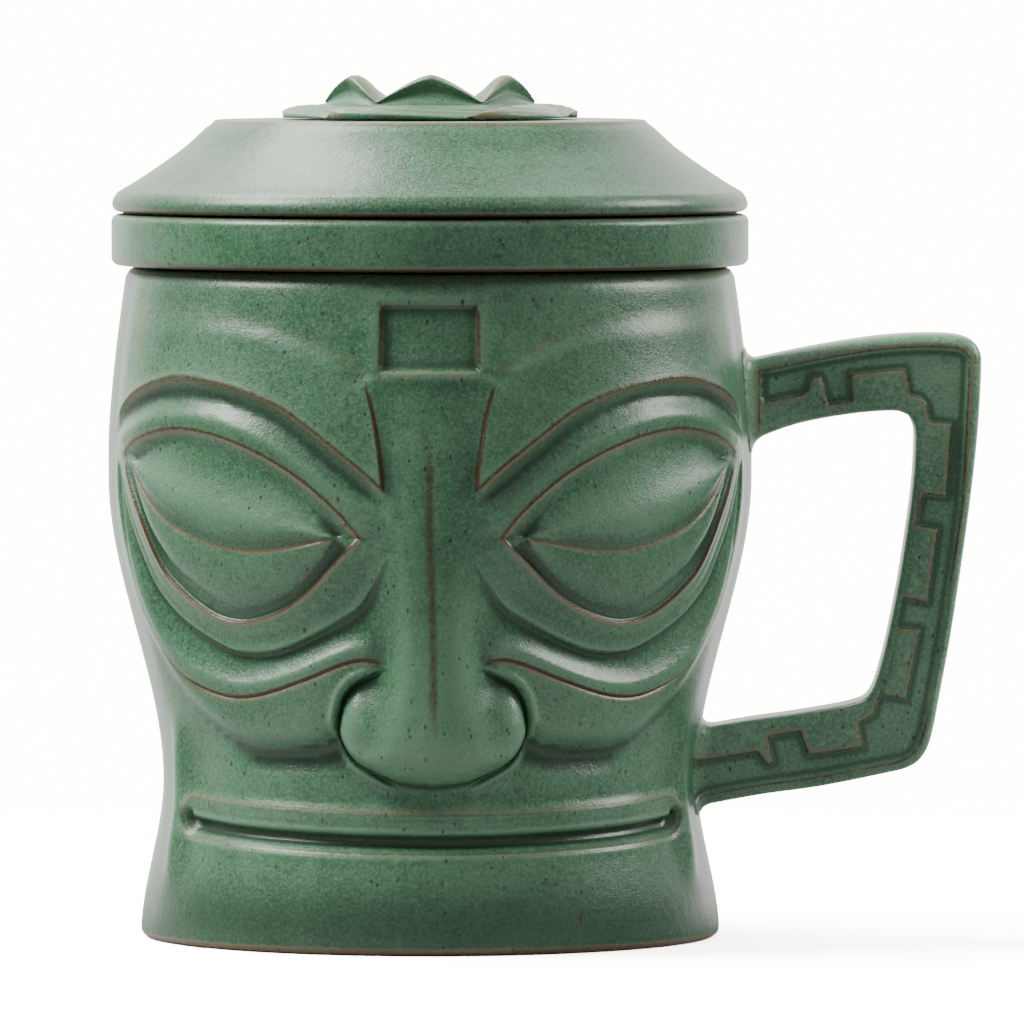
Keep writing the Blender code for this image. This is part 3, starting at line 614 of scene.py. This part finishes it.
def celadon(name, thick, thin, seed=0.0):
    """Satin celadon glaze: mottled green, dark in pools and painted shade, light where thin and in painted
    highlights, beige and brown where it breaks, iron specks.
    """
    n = Nodes(bpy.data.materials.new(name))
    shader = n.tree.nodes["Principled BSDF"]
    place = n.add("ShaderNodeTexCoord").outputs["Object"]
    place = n.add("ShaderNodeVectorMath", {0: place, 1: (seed, seed * 0.7, 0.0)}, operation="ADD").outputs[0]
    # mottled green
    clouds, patches = n.noise(place, 16.0, 3.0), n.noise(place, 2.2, 3.0)
    grain = n.noise(place, 0.50, 3.0, 0.7)
    body = n.mix(n.ramp(clouds, 0.32, 0.70), (*thick, 1), (*thin, 1))
    light = (thin[0] * 1.7 + 0.012, thin[1] * 1.45 + 0.010, thin[2] * 1.55 + 0.010)
    deep = tuple(c * 0.50 for c in thick)
    body = n.mix(n.math("MULTIPLY", n.ramp(patches, 0.50, 0.78), 0.45), body, (*deep, 1))
    body = n.mix(n.math("MULTIPLY", n.ramp(grain, 0.44, 0.72), 0.55), body, (*light, 1))
    body = n.mix(n.math("MULTIPLY", n.ramp(grain, 0.50, 0.28), 0.50), body, (*deep, 1))
    # darker where it pools and in painted shade, lighter where it runs thin and in painted highlights, then
    # beige and brown where it breaks, with ragged edges
    marks = n.add("ShaderNodeAttribute", attribute_name="glaze_and_shading_marks").outputs["Vector"]
    brown, beige, pool_and_shading = n.add("ShaderNodeSeparateXYZ", {"Vector": marks}).outputs
    ragged = n.math("MULTIPLY", n.math("SUBTRACT", n.noise(place, 0.8, 3.0, 0.6), 0.5), 0.9)
    # the dark mix is pooled glaze and painted shade, the light mix thin glaze and painted highlights
    body = n.mix(n.math("MULTIPLY", n.ramp(pool_and_shading, 0.0, 1.0), 0.82), body, (*[c * 0.30 for c in thick], 1))
    body = n.mix(n.math("MULTIPLY", n.ramp(pool_and_shading, 0.0, -1.0), 0.50), body, (*light, 1))
    beige_share = n.ramp(n.math("ADD", beige, ragged), 0.15, 0.95)
    body = n.mix(n.math("MULTIPLY", beige_share, 0.78), body, (*beige_glaze, 1))
    brown_share = n.ramp(n.math("ADD", brown, n.math("MULTIPLY", ragged, 0.55)), 0.22, 0.85)
    body = n.mix(n.math("MULTIPLY", brown_share, 0.93), body, (*brown_glaze, 1))
    # iron specks, drawn out a little upwards
    values = {"Vector": place, "Scale": (1.0, 1.0, 0.62), "Rotation": (0.3, 0.4, 0.0)}
    squeeze = n.add("ShaderNodeMapping", values).outputs[0]
    wander = n.math("MULTIPLY", n.math("SUBTRACT", grain, 0.5), 0.16)
    for size, rarity, dot, colour in iron_specks:
        cells = n.add("ShaderNodeTexVoronoi", {"Vector": squeeze, "Scale": 1000.0 / size, "Randomness": 1.0})
        chance, growth, strength = n.add("ShaderNodeSeparateColor", {"Color": cells.outputs["Color"]}).outputs
        reach = n.math("MULTIPLY", n.math("SUBTRACT", growth, 1.0), dot * 0.6)
        from_dot = n.math("SUBTRACT", n.math("ADD", cells.outputs["Distance"], wander), reach)
        shown = n.math("MULTIPLY", n.ramp(from_dot, dot, dot * 0.45), n.math("GREATER_THAN", chance, rarity))
        share = n.math("MULTIPLY", shown, n.math("MULTIPLY_ADD", strength, 0.5, 0.45))
        body = n.mix(share, body, (*colour, 1))
    # satin skin with a fine orange peel
    n.link(body, shader.inputs["Base Color"])
    n.link(n.math("MULTIPLY_ADD", grain, 0.20, 0.24), shader.inputs["Roughness"])
    shader.inputs["IOR"].default_value = 1.5
    shader.inputs["Coat Weight"].default_value = 0.20
    shader.inputs["Coat Roughness"].default_value = 0.20
    peel = n.math("ADD", n.math("MULTIPLY", n.noise(place, 0.34, 2.0), 0.9), n.noise(place, 1.5, 2.0))
    bump = n.add("ShaderNodeBump", {"Strength": 0.55, "Distance": 0.00012, "Height": peel})
    n.link(bump.outputs["Normal"], shader.inputs["Normal"])
    return n.owner


green_thick, green_thin = (0.046, 0.146, 0.076), (0.092, 0.222, 0.132)
body_piece = build_body()
body_piece.data.materials.append(celadon("body_glaze", green_thick, green_thin))
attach(body_piece, "mug")
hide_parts("mug_body")

# ----------------------------------------------------------------------------------------------------
# Handle. A flat bar of solid clay, pressed with a stepped fret on both faces and fixed to the wall with slip.
handle_depth = 12.5
handle_bite, handle_bury = 1.2, 0.15  # how far the ends go into the wall, and how much of their rest is kept
bar_outside = [
    (38, 84.2), (48.3, 86.65), (58.5, 88.75), (68.25, 90.2), (76.5, 90.5), (80.6, 89.8), (82.3, 88.0),
    (82.6, 85.0), (82.1, 76.0), (81.1, 66.5), (79.8, 56.8), (78.1, 45.5), (76.6, 37.3), (75.2, 30.2),
    (73.9, 27.2), (71.8, 25.5), (68.0, 24.5), (58.5, 22.6), (48.7, 21.2), (36, 18.8),
]
bar_inside = [
    (38, 71.4), (46.5, 73.9), (54.5, 76.8), (62.0, 78.3), (68.4, 78.9), (70.9, 78.6), (72.2, 77.3),
    (72.6, 74.6), (72.2, 67.5), (71.2, 60.0), (70.0, 52.5), (68.5, 45.0), (67.4, 40.6), (66.5, 37.8),
    (65.4, 36.1), (63.6, 35.3), (60.5, 34.6), (54.5, 33.6), (47.5, 32.6), (36, 30.6),
]
fret = [
    (49.7, 88.0), (49.6, 81.0), (50.2, 80.3), (55.6, 81.4), (56.7, 82.2), (57.0, 83.9), (58.3, 84.0),
    (58.9, 82.6), (59.7, 79.9), (63.2, 80.5), (62.9, 84.4), (71.1, 85.2), (71.7, 81.3), (73.4, 81.0),
    (74.4, 79.8), (74.8, 77.4), (78.1, 77.0), (77.3, 66.2), (73.9, 66.6), (72.8, 61.9), (76.1, 61.3),
    (74.5, 50.3), (70.7, 51.1), (70.0, 46.5), (73.4, 46.2), (71.3, 35.8), (67.4, 36.5), (66.5, 33.6),
    (64.2, 32.2), (64.8, 28.5), (56.7, 27.4), (55.4, 31.0), (50.7, 30.1), (51.5, 26.2), (50.6, 25.9),
    (48.9, 27.9), (41.7, 26.7), (30, 25.0), (30, 60), (49.0, 74),
]
fret_deep = 0.75
# width of the plain rim beside the fret, at shares of the bar's length
fret_edges = ((0, 2.1), (0.36, 2.0), (0.46, 1.35), (0.68, 1.25), (0.80, 1.7), (1.0, 1.7))
fret_start, fret_arm = 49.4, 60.0  # the fret of the upper arm, above this height, starts here
bar_corner = 2.0
slip_fillet = 2.2


def ring_faces(count, sides):
    """Faces between rings that follow each other, each of the same number of points."""
    return [
        (i * sides + k, i * sides + (k + 1) % sides, (i + 1) * sides + (k + 1) % sides, (i + 1) * sides + k)
        for i in range(count - 1) for k in range(sides)
    ]


def build_handle():
    """Lofts the bar between its two edges, then presses the fret into both faces."""
    counts = [int(max(math.dist(a, b) / 0.32, 5)) for a, b in zip(bar_outside[:-1], bar_outside[1:])]
    outer, inner = flowing(bar_outside, counts=counts), flowing(bar_inside, counts=counts)
    along = np.linspace(0, 1, len(outer))
    width = np.linalg.norm(outer - inner, axis=1)
    half = handle_depth / 2
    arc = np.radians(np.linspace(0, 90, 7))

    def corner(edge, side, turns):
        """Ring points round one long corner of the bar, on its face at side -1 or 1."""
        depths = side * (half - bar_corner + bar_corner * np.cos(turns))
        return [(edge, into, y) for into, y in zip(bar_corner * (1 - np.sin(turns)), depths)]

    # once round the bar: an edge or face, how far in from the edge or the share of the face, and the depth
    shares = np.linspace(0, 1, 30)[1:-1]
    depths = np.linspace(-half + bar_corner, half - bar_corner, 9)[1:-1]
    ring = corner("in", -1, arc[::-1]) + [("face", t, -half) for t in shares]
    ring += corner("out", -1, arc) + [("out", 0.0, y) for y in depths]
    ring += corner("out", 1, arc[::-1]) + [("face", 1 - t, half) for t in shares]
    ring += corner("in", 1, arc) + [("in", 0.0, y) for y in depths[::-1]]
    share = np.empty((len(outer), len(ring)))
    depth = np.empty(len(ring))
    for k, (kind, value, y) in enumerate(ring):
        depth[k] = y
        if kind == "in":
            share[:, k] = value / width
        elif kind == "out":
            share[:, k] = 1 - value / width
        else:
            share[:, k] = (bar_corner + value * (width - 2 * bar_corner)) / width
    flat = inner[:, None, :] * (1 - share[..., None]) + outer[:, None, :] * share[..., None]
    y = np.broadcast_to(depth, share.shape).copy()
    points = flat.reshape(-1, 2)
    land = distance_from(points, fret, closed=True).reshape(share.shape)
    rim_in = distance_from(points, outer).reshape(share.shape) - track(along, fret_edges)[:, None]
    rim_in = np.where(flat[..., 1] > fret_arm, np.minimum(rim_in, flat[..., 0] - fret_start), rim_in)
    channel = ease(rim_in / 0.35 + 0.5) * (1 - ease(land / 0.4 + 0.5))
    on_face = ease((np.abs(y) - half + 0.5) / 0.4)
    to_inside = share * width[:, None]
    grip = ease((along - 0.36) / 0.04) * (1 - ease((along - 0.70) / 0.04))
    dent = 0.22 * bell(to_inside - 1.5, 0.4) * grip[:, None]
    y -= np.sign(y) * on_face * (fret_deep * channel + dent)
    in_fret = rim_in > 0.3
    brown = np.maximum(0.75 * bell(rim_in + 0.12, 0.26), 0.65 * bell(land - 0.05, 0.24) * in_fret)
    brown = np.maximum(brown, 0.5 * bell(to_inside - 1.5, 0.3) * grip[:, None])
    beige = np.maximum(0.9 * bell(rim_in + 0.5, 0.3), 0.8 * bell(land - 0.45, 0.32) * in_fret)
    # pooled glaze and painted shade in the fret's channel, along the foot of its walls
    pool_and_shading = 0.8 * np.clip(channel * (bell(land + 0.5, 0.6) + bell(rim_in - 0.8, 0.5)), 0, 1)
    x, z = flat[..., 0], flat[..., 1]
    # the slip that fills the corner at the wall
    out_x, out_z = np.moveaxis(flat - (inner + outer)[:, None, :] / 2, -1, 0)
    size = np.sqrt(out_x**2 + out_z**2 + y**2) + 1e-6
    gap = np.hypot(x, y) - wall_radius(z)
    flare = np.clip(1 - gap / slip_fillet, 0, 1)
    flare = slip_fillet * (1 - np.sqrt(np.clip(1 - flare**2, 0, 1))) * (gap > -1.5)
    y, z = y + flare * y / size, z + flare * out_z / size
    # the buried end stops inside the wall's thickness
    buried = np.sqrt(np.maximum((wall_radius(z) - handle_bite) ** 2 - y**2, 0.0))
    x = np.where(x < buried, buried - handle_bury * (buried - x), x)
    marks = (np.stack([brown, beige, pool_and_shading], -1) * on_face[..., None]).reshape(-1, 3)
    placed = np.stack([x, y, z], -1).reshape(-1, 3) * MM
    count, sides = share.shape
    faces = ring_faces(count, sides)
    faces += [tuple(range(sides))[::-1], tuple(range((count - 1) * sides, count * sides))]
    return closed_piece("handle_glazed", placed, faces, marks)


def closed_piece(name, points, faces, marks):
    """A smooth closed piece from points and faces, with its glaze marks."""
    mesh = bpy.data.meshes.new(name)
    mesh.from_pydata(points.tolist(), [], faces)
    return finished_piece(mesh, marks)


handle_piece = build_handle()
# a lighter copy of the body's glaze: painted light for the handle's flat faces
handle_thick_lit, handle_thin_lit = (0.106, 0.248, 0.150), (0.178, 0.345, 0.228)
handle_piece.data.materials.append(celadon("handle_glaze", handle_thick_lit, handle_thin_lit, seed=0.3))
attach(handle_piece, "mug")
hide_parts("handle")

# ----------------------------------------------------------------------------------------------------
# Infuser. Turned in one: a wide flange that lies on the rim, a ring that centres it and a basket with a
# pierced floor. It is glazed all over but for a line at the flange's lower edge, where the glaze was wiped.
seat_gap = 0.3
seat, flange_top = body_height + seat_gap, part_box("infuser")[1][2] / MM
flange_radius, flange_round, spigot_radius, spigot_deep = 47.8, 1.2, 40.8, 4.0
basket_radius, basket_floor_radius, basket_floor, basket_wall, basket_round = 39.2, 33.5, 37.4, 2.7, 2.7
hole_radius, hole_pitch, hole_rings, hole_sides = 1.2, 7.8, 3, 24


def evenly(points, step):
    """The same profile with points at even steps along its straight runs."""
    made = [points[0]]
    for a, b in zip(points[:-1], points[1:]):
        count = max(int(math.dist(a, b) / step), 1)
        shares = [k / count for k in range(1, count + 1)]
        made += [(a[0] + (b[0] - a[0]) * t, a[1] + (b[1] - a[1]) * t) for t in shares]
    return made


def turned_piece(name, profile, mark, steps, shape=None):
    """Turns a profile that starts and ends on the axis; mark gives the glaze marks and any painted shading,
    shape reshapes rings.
    """
    rings = np.array(profile[1:-1])
    turn = np.arange(steps) * 2 * math.pi / steps
    radius, up = rings[:, :1] * np.ones(steps), rings[:, 1:] * np.ones(steps)
    if shape:
        radius, up = shape(radius, up, turn[None, :] * np.ones(radius.shape))
    points = np.stack([radius * np.sin(turn), -radius * np.cos(turn), up], -1).reshape(-1, 3)
    ends = np.array([(0, 0, profile[0][1]), (0, 0, profile[-1][1])])
    count = len(rings)
    first_middle, last_middle, last_ring = count * steps, count * steps + 1, (count - 1) * steps
    faces = ring_faces(count, steps)
    faces += [(first_middle, (k + 1) % steps, k) for k in range(steps)]
    faces += [(last_middle, last_ring + k, last_ring + (k + 1) % steps) for k in range(steps)]
    marks = np.vstack([mark(radius.ravel(), up.ravel(), np.tile(turn, count)), np.zeros((2, 3))])
    return closed_piece(name, np.vstack([points, ends]) * MM, faces, marks)


def flange_marks(radius, up, turn):
    """Brown at the lower edge, thin glaze along the upper one."""
    outer = radius > flange_radius - 2.5
    brown = bell(up - seat - 0.1, 0.45) * outer
    beige = 0.45 * bell(up - flange_top + 0.3, 0.4) * outer + 0.5 * bell(up - seat - 0.8, 0.3) * outer
    return np.stack([brown, beige, np.zeros_like(up)], -1)


basket_inside, inside_floor = basket_radius - basket_wall, basket_floor + basket_wall
floor_corner = basket_floor_radius - 2 * basket_round
infuser_profile = [(0, inside_floor), (floor_corner, inside_floor)]
infuser_profile += curved((floor_corner, inside_floor + basket_round), basket_round, -75, -10, 5)
for radius, up, start, end in (
    (basket_inside + flange_round, flange_top - flange_round, 180, 90),
    (flange_radius - flange_round, flange_top - flange_round, 90, 0),
    (flange_radius - flange_round, seat + flange_round, 0, -90),
):
    infuser_profile += curved((radius, up), flange_round, start, end)
infuser_profile += [(spigot_radius, seat), (spigot_radius, seat - spigot_deep)]
infuser_profile += [(basket_radius, seat - spigot_deep - 1.3)]
floor_round_middle = (basket_floor_radius - basket_round, basket_floor + basket_round)
infuser_profile += [(basket_floor_radius, floor_round_middle[1])]
infuser_profile += curved(floor_round_middle, basket_round, -10, -90, 5)
infuser_profile += [(0, basket_floor)]
infuser_piece = turned_piece("infuser_glazed", evenly(infuser_profile, 1.5), flange_marks, steps=240)
infuser_piece.data.materials.append(celadon("infuser_glaze", green_thick, green_thin, seed=0.6))
drills = bmesh.new()
drill_size = {"radius1": hole_radius * MM, "radius2": hole_radius * MM, "depth": 3 * basket_wall * MM}
for ring in range(hole_rings + 1):
    count = max(6 * ring, 1)
    for k in range(count):
        drill = bmesh.ops.create_cone(drills, cap_ends=True, segments=hole_sides, **drill_size)
        turn, reach = 2 * math.pi * k / count, ring * hole_pitch * MM
        place = (reach * math.cos(turn), reach * math.sin(turn), (basket_floor + basket_wall / 2) * MM)
        bmesh.ops.translate(drills, verts=drill["verts"], vec=place)
drill_mesh = bpy.data.meshes.new("infuser_drills")
drills.to_mesh(drill_mesh)
drills.free()
drill_piece = bpy.data.objects.new("infuser_drills", drill_mesh)
bpy.context.scene.collection.objects.link(drill_piece)
boring = infuser_piece.modifiers.new("holes", "BOOLEAN")
boring.object = drill_piece
boring.solver = "EXACT"
bpy.context.view_layer.update()
bored = bpy.data.meshes.new_from_object(infuser_piece.evaluated_get(bpy.context.evaluated_depsgraph_get()))
infuser_piece.modifiers.clear()
infuser_piece.data = bored
bpy.data.objects.remove(drill_piece)
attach(infuser_piece, "infuser")
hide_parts("infuser")

# ----------------------------------------------------------------------------------------------------
# Lid. A hollow turned cone with a flat top, glazed like the body but a little darker. The collar under it
# drops into the infuser and holds it in the middle; nothing else fixes it.
lid_seat, lid_top = flange_top + seat_gap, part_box("lid")[1][2] / MM
lid_radius, lid_round, lid_top_radius, lid_top_round, lid_wall = 47.7, 1.2, 32.7, 0.85, 4.2
collar, collar_wall, collar_height = 35.8, 3.0, 5.5


def lid_marks(radius, up, turn):
    """Brown at the lower edge and a thin light line round the flat top."""
    low = bell(up - lid_seat - 0.1, 0.5) * (radius > lid_radius - 2.5)
    brink = bell(np.hypot(radius - lid_top_radius + 0.3, up - lid_top + 0.2), 0.55)
    shoulder = 0.3 * bell(up - lid_seat - 2.4, 0.5) * (radius > lid_radius - 3.0)
    beige = 0.75 * brink + shoulder + 0.4 * bell(up - lid_seat - 0.9, 0.3)
    return np.stack([low + 0.35 * brink, beige, 0 * up], -1)


lid_slope = [
    (47.45, lid_seat + 2.1), (46.9, lid_seat + 2.9), (44.2, lid_seat + 4.55), (40.5, lid_seat + 7.0),
    (36.8, lid_seat + 9.7), (33.6, lid_seat + 12.6), (32.95, lid_top - 0.75),
]
inside, inside_top = collar - collar_wall, lid_top - lid_wall
lid_profile = [(0, inside_top), (lid_top_radius - lid_wall, inside_top), (inside, lid_seat + 2.2)]
lid_profile += [(inside, lid_seat - collar_height), (collar, lid_seat - collar_height), (collar, lid_seat)]
lid_profile += curved((lid_radius - lid_round, lid_seat + lid_round), lid_round, -90, 20)
lid_profile += [tuple(p) for p in flowing(lid_slope, 0.5)]
lid_profile += curved((lid_top_radius - lid_top_round, lid_top - lid_top_round), lid_top_round, 30, 90, 5)
lid_profile += [(0, lid_top)]
lid_piece = turned_piece("lid_glazed", evenly(lid_profile, 1.2), lid_marks, steps=288)
lid_thick, lid_thin = (0.040, 0.130, 0.066), (0.082, 0.200, 0.118)
lid_piece.data.materials.append(celadon("lid_glaze", lid_thick, lid_thin, seed=0.9))
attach(lid_piece, "lid")
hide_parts("lid")

# ----------------------------------------------------------------------------------------------------
# Crown. A pinwheel of low lobes with a ring of six pointed petals standing on it. It is shaped by hand from
# the same clay, combed along the lobes, stuck to the lid with slip and glazed with it.
crown_base, petal_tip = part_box("lid_crown")[0][2] / MM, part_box("lid_crown")[1][2] / MM
petals, petal_foot, petal_radius, petal_wall = 6, 125.2, 16.1, 2.6
whorl_start, whorl_radius = 15.9, 22.2
on_whorl, on_outside, on_inside = 0, 1, 2

# every ring of the crown: the surface it is on, how far up its petal, radius and height
crown_rings = [(on_inside, level, 12, petal_foot) for level in np.linspace(0, 1, 15)]
crown_rings += [(on_outside, level, 15, petal_foot) for level in np.linspace(1, 0, 21)]
for radius in np.linspace(whorl_start, whorl_radius, 22):
    fall = ((radius - whorl_start) / (whorl_radius - whorl_start)) ** 1.7
    crown_rings.append((on_whorl, 1, radius, petal_foot - 0.4 - (petal_foot - 0.9 - crown_base) * fall))
crown_rings.append((on_whorl, 0, whorl_radius - 0.1, crown_base))
crown_rings = np.array(crown_rings)


def petal_place(turn):
    """Place across a petal, how full the petal is there, and the height of its rim."""
    across = (turn * petals / (2 * math.pi) + 0.5) % 1.0 - 0.5
    full = 1.0 - np.abs(2 * across) ** 1.5
    return across, full, petal_foot + (petal_tip - petal_foot) * np.maximum(full, 0.04)


def whorl_place(radius, turn):
    """Place within one swirling lobe, from 0 at its leading edge to 1, and the comb's waves, from -1 to 1."""
    lobe = (turn * petals / (2 * math.pi) + 0.12 + (radius - 16.0) / 9.0) % 1.0
    return lobe, np.sin(radius * 5.0 + turn * 2.0)


def crown_shape(radius, up, turn):
    """Gives each turned ring its lobes or petals."""
    kind, level = crown_rings[:, :1], crown_rings[:, 1:2]
    across, full, rim = petal_place(turn)
    lobe, waves = whorl_place(radius, turn)
    # a lobe rises sharply, then runs out under the next
    swell = ease(lobe / 0.16) * (1.0 - 0.9 * lobe)
    away = ease((radius - 15.5) / 5.0) * (kind == on_whorl)
    lift = away * (1.15 * swell - 0.45) + 0.04 * waves * (kind == on_whorl)
    # a petal is hollowed outside, and its rim leans out to a lip
    height = petal_foot - 0.5 + (rim - petal_foot + 0.5) * level
    flat = np.cos(math.pi / petals) / np.cos(2 * math.pi * across / petals)
    plan = petal_radius * (1.0 + 0.5 * (flat - 1.0))
    belly = 0.3 + 0.7 * full
    hollow = (1.5 * ease(level / 0.5) - 0.8 * ease((level - 0.45) / 0.5)) * belly
    lip = 0.8 * np.clip((level - 0.86) / 0.14, 0, 1) ** 2
    inner_radius = plan - petal_wall - 0.7 * belly + lip - (1.0 - level) ** 1.4 * 6.0
    up = np.where(kind == on_whorl, up + lift * (level > 0), height)
    radius = radius + away * 1.5 * (swell - 0.75)
    radius = np.where(kind == on_outside, plan - hollow - lip, radius)
    return np.where(kind == on_inside, inner_radius, radius), up


def crown_marks(radius, up, turn):
    """Beige on the petals' rims, brown along the whorl's lines, painted shade and light on the petals' faces,
    and a lighter whorl.
    """
    across, full, rim = petal_place(turn)
    lobe, waves = whorl_place(radius, turn)
    edge = bell(up - rim, 0.5) * (up > petal_foot - 0.2) * (radius > 12.5)
    below = (up < petal_foot - 0.2) * (radius > 15.2)
    brown = 0.85 * below * bell(lobe - 0.02, 0.05) + 0.55 * below * ease(waves - 0.2) + 0.40 * edge
    beige = 0.5 * edge + 0.7 * below * bell(lobe - 0.16, 0.09) + 0.45 * below * ease(-waves)
    level = (up - petal_foot + 0.5) / (rim - petal_foot + 0.5)
    on_petal = (radius > 12.0) * (up > petal_foot - 0.4)
    # painted shade across the upper middle of each petal's face, painted light near its foot, and the whorl
    # made lighter
    pool_and_shading = on_petal * (0.4 * bell(level - 0.62, 0.2) - 0.6 * bell(level - 0.1, 0.25)) - 0.4 * below
    return np.stack([brown, beige, pool_and_shading], -1)


crown_profile = [(0, petal_foot - 0.6), *crown_rings[:, 2:], (0, crown_base)]
crown_piece = turned_piece("crown_glazed", crown_profile, crown_marks, steps=360, shape=crown_shape)
crown_piece.data.materials.append(celadon("crown_glaze", green_thick, green_thin, seed=1.2))
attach(crown_piece, "lid")
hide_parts("lid_crown")

# ----------------------------------------------------------------------------------------------------
# Studio. A white paper floor that fades out to a white room, with large soft windows high on the left, over
# the mug and, weaker, on the right. The room glows only behind the mug and above it.
floor_half = 0.32
floor_mesh = bpy.data.meshes.new("studio_floor")
corners = [(x * floor_half, y * floor_half, 0) for x, y in ((-1, -1), (1, -1), (1, 1), (-1, 1))]
floor_mesh.from_pydata(corners, [], [(0, 1, 2, 3)])
floor_piece = bpy.data.objects.new("studio_floor", floor_mesh)
bpy.context.scene.collection.objects.link(floor_piece)
floor_nodes = Nodes(bpy.data.materials.new("studio_floor"))
floor_nodes.tree.nodes.remove(floor_nodes.tree.nodes["Principled BSDF"])
to_camera = floor_nodes.add("ShaderNodeLightPath").outputs["Is Camera Ray"]
paper_shade = floor_nodes.mix(to_camera, (0.35, 0.35, 0.35, 1), (9, 9, 9, 1))
paper = floor_nodes.add("ShaderNodeBsdfDiffuse", {"Color": paper_shade})
clear = floor_nodes.add("ShaderNodeBsdfTransparent")
place = floor_nodes.add("ShaderNodeTexCoord").outputs["Object"]
from_middle = floor_nodes.add("ShaderNodeVectorMath", {0: place}, operation="LENGTH").outputs["Value"]
far = floor_nodes.ramp(from_middle, 0.10, 0.30)
both = floor_nodes.add("ShaderNodeMixShader", {0: far, 1: paper.outputs[0], 2: clear.outputs[0]})
floor_nodes.link(both.outputs[0], floor_nodes.tree.nodes["Material Output"].inputs["Surface"])
floor_mesh.materials.append(floor_nodes.owner)


def soft_window(name, place, aim, size, power):
    """A large soft light at a place, turned towards its aim."""
    light = bpy.data.lights.new(name, "AREA")
    light.color = (1.0, 0.98, 0.92)
    light.shape = "RECTANGLE"
    light.size, light.size_y = size
    light.energy = power
    lamp = bpy.data.objects.new(name, light)
    bpy.context.scene.collection.objects.link(lamp)
    lamp.location = place
    away = Vector(place) - Vector(aim)
    lamp.rotation_euler = away.to_track_quat("Z", "Y").to_euler()


soft_window("window_left", (-0.74, -0.14, 0.84), (0, 0, 0.06), (0.45, 0.45), 17.0)
soft_window("window_top", (-0.40, 0.32, 0.95), (0, 0, 0.1), (0.50, 0.40), 10.0)
soft_window("window_right", (0.78, 0.05, 0.52), (0, 0, 0.06), (0.35, 0.35), 5.5)
room = Nodes(bpy.data.worlds.new("white_room"))
direction = room.add("ShaderNodeTexCoord").outputs["Generated"]
x, y, z = room.add("ShaderNodeSeparateXYZ", {0: direction}).outputs
glow = room.math("ADD", room.ramp(y, 0.30, 0.95, 0.09, 2.1), room.ramp(z, 0.05, 0.9, 0.09, 0.45))
to_camera = room.add("ShaderNodeLightPath").outputs["Is Camera Ray"]
strength = room.add("ShaderNodeMix", {0: to_camera, 2: glow, 3: 16.0}).outputs[0]
glow_colour = room.tree.nodes["Background"]
room.link(strength, glow_colour.inputs["Strength"])
glow_colour.inputs["Color"].default_value = (1.0, 0.985, 0.94, 1)
bpy.context.scene.world = room.owner

camera_dip = 2.5  # degrees below level
camera = bpy.data.objects.new("camera", bpy.data.cameras.new("camera"))
bpy.context.scene.collection.objects.link(camera)
camera.data.sensor_width = 36.0
camera.data.lens = 450.0
camera.data.clip_end = 20.0
camera.location = (0.0123, -1.92, 0.1474)
camera.rotation_euler = (math.radians(90.0 - camera_dip), 0.0, 0.0)
bpy.context.scene.camera = camera
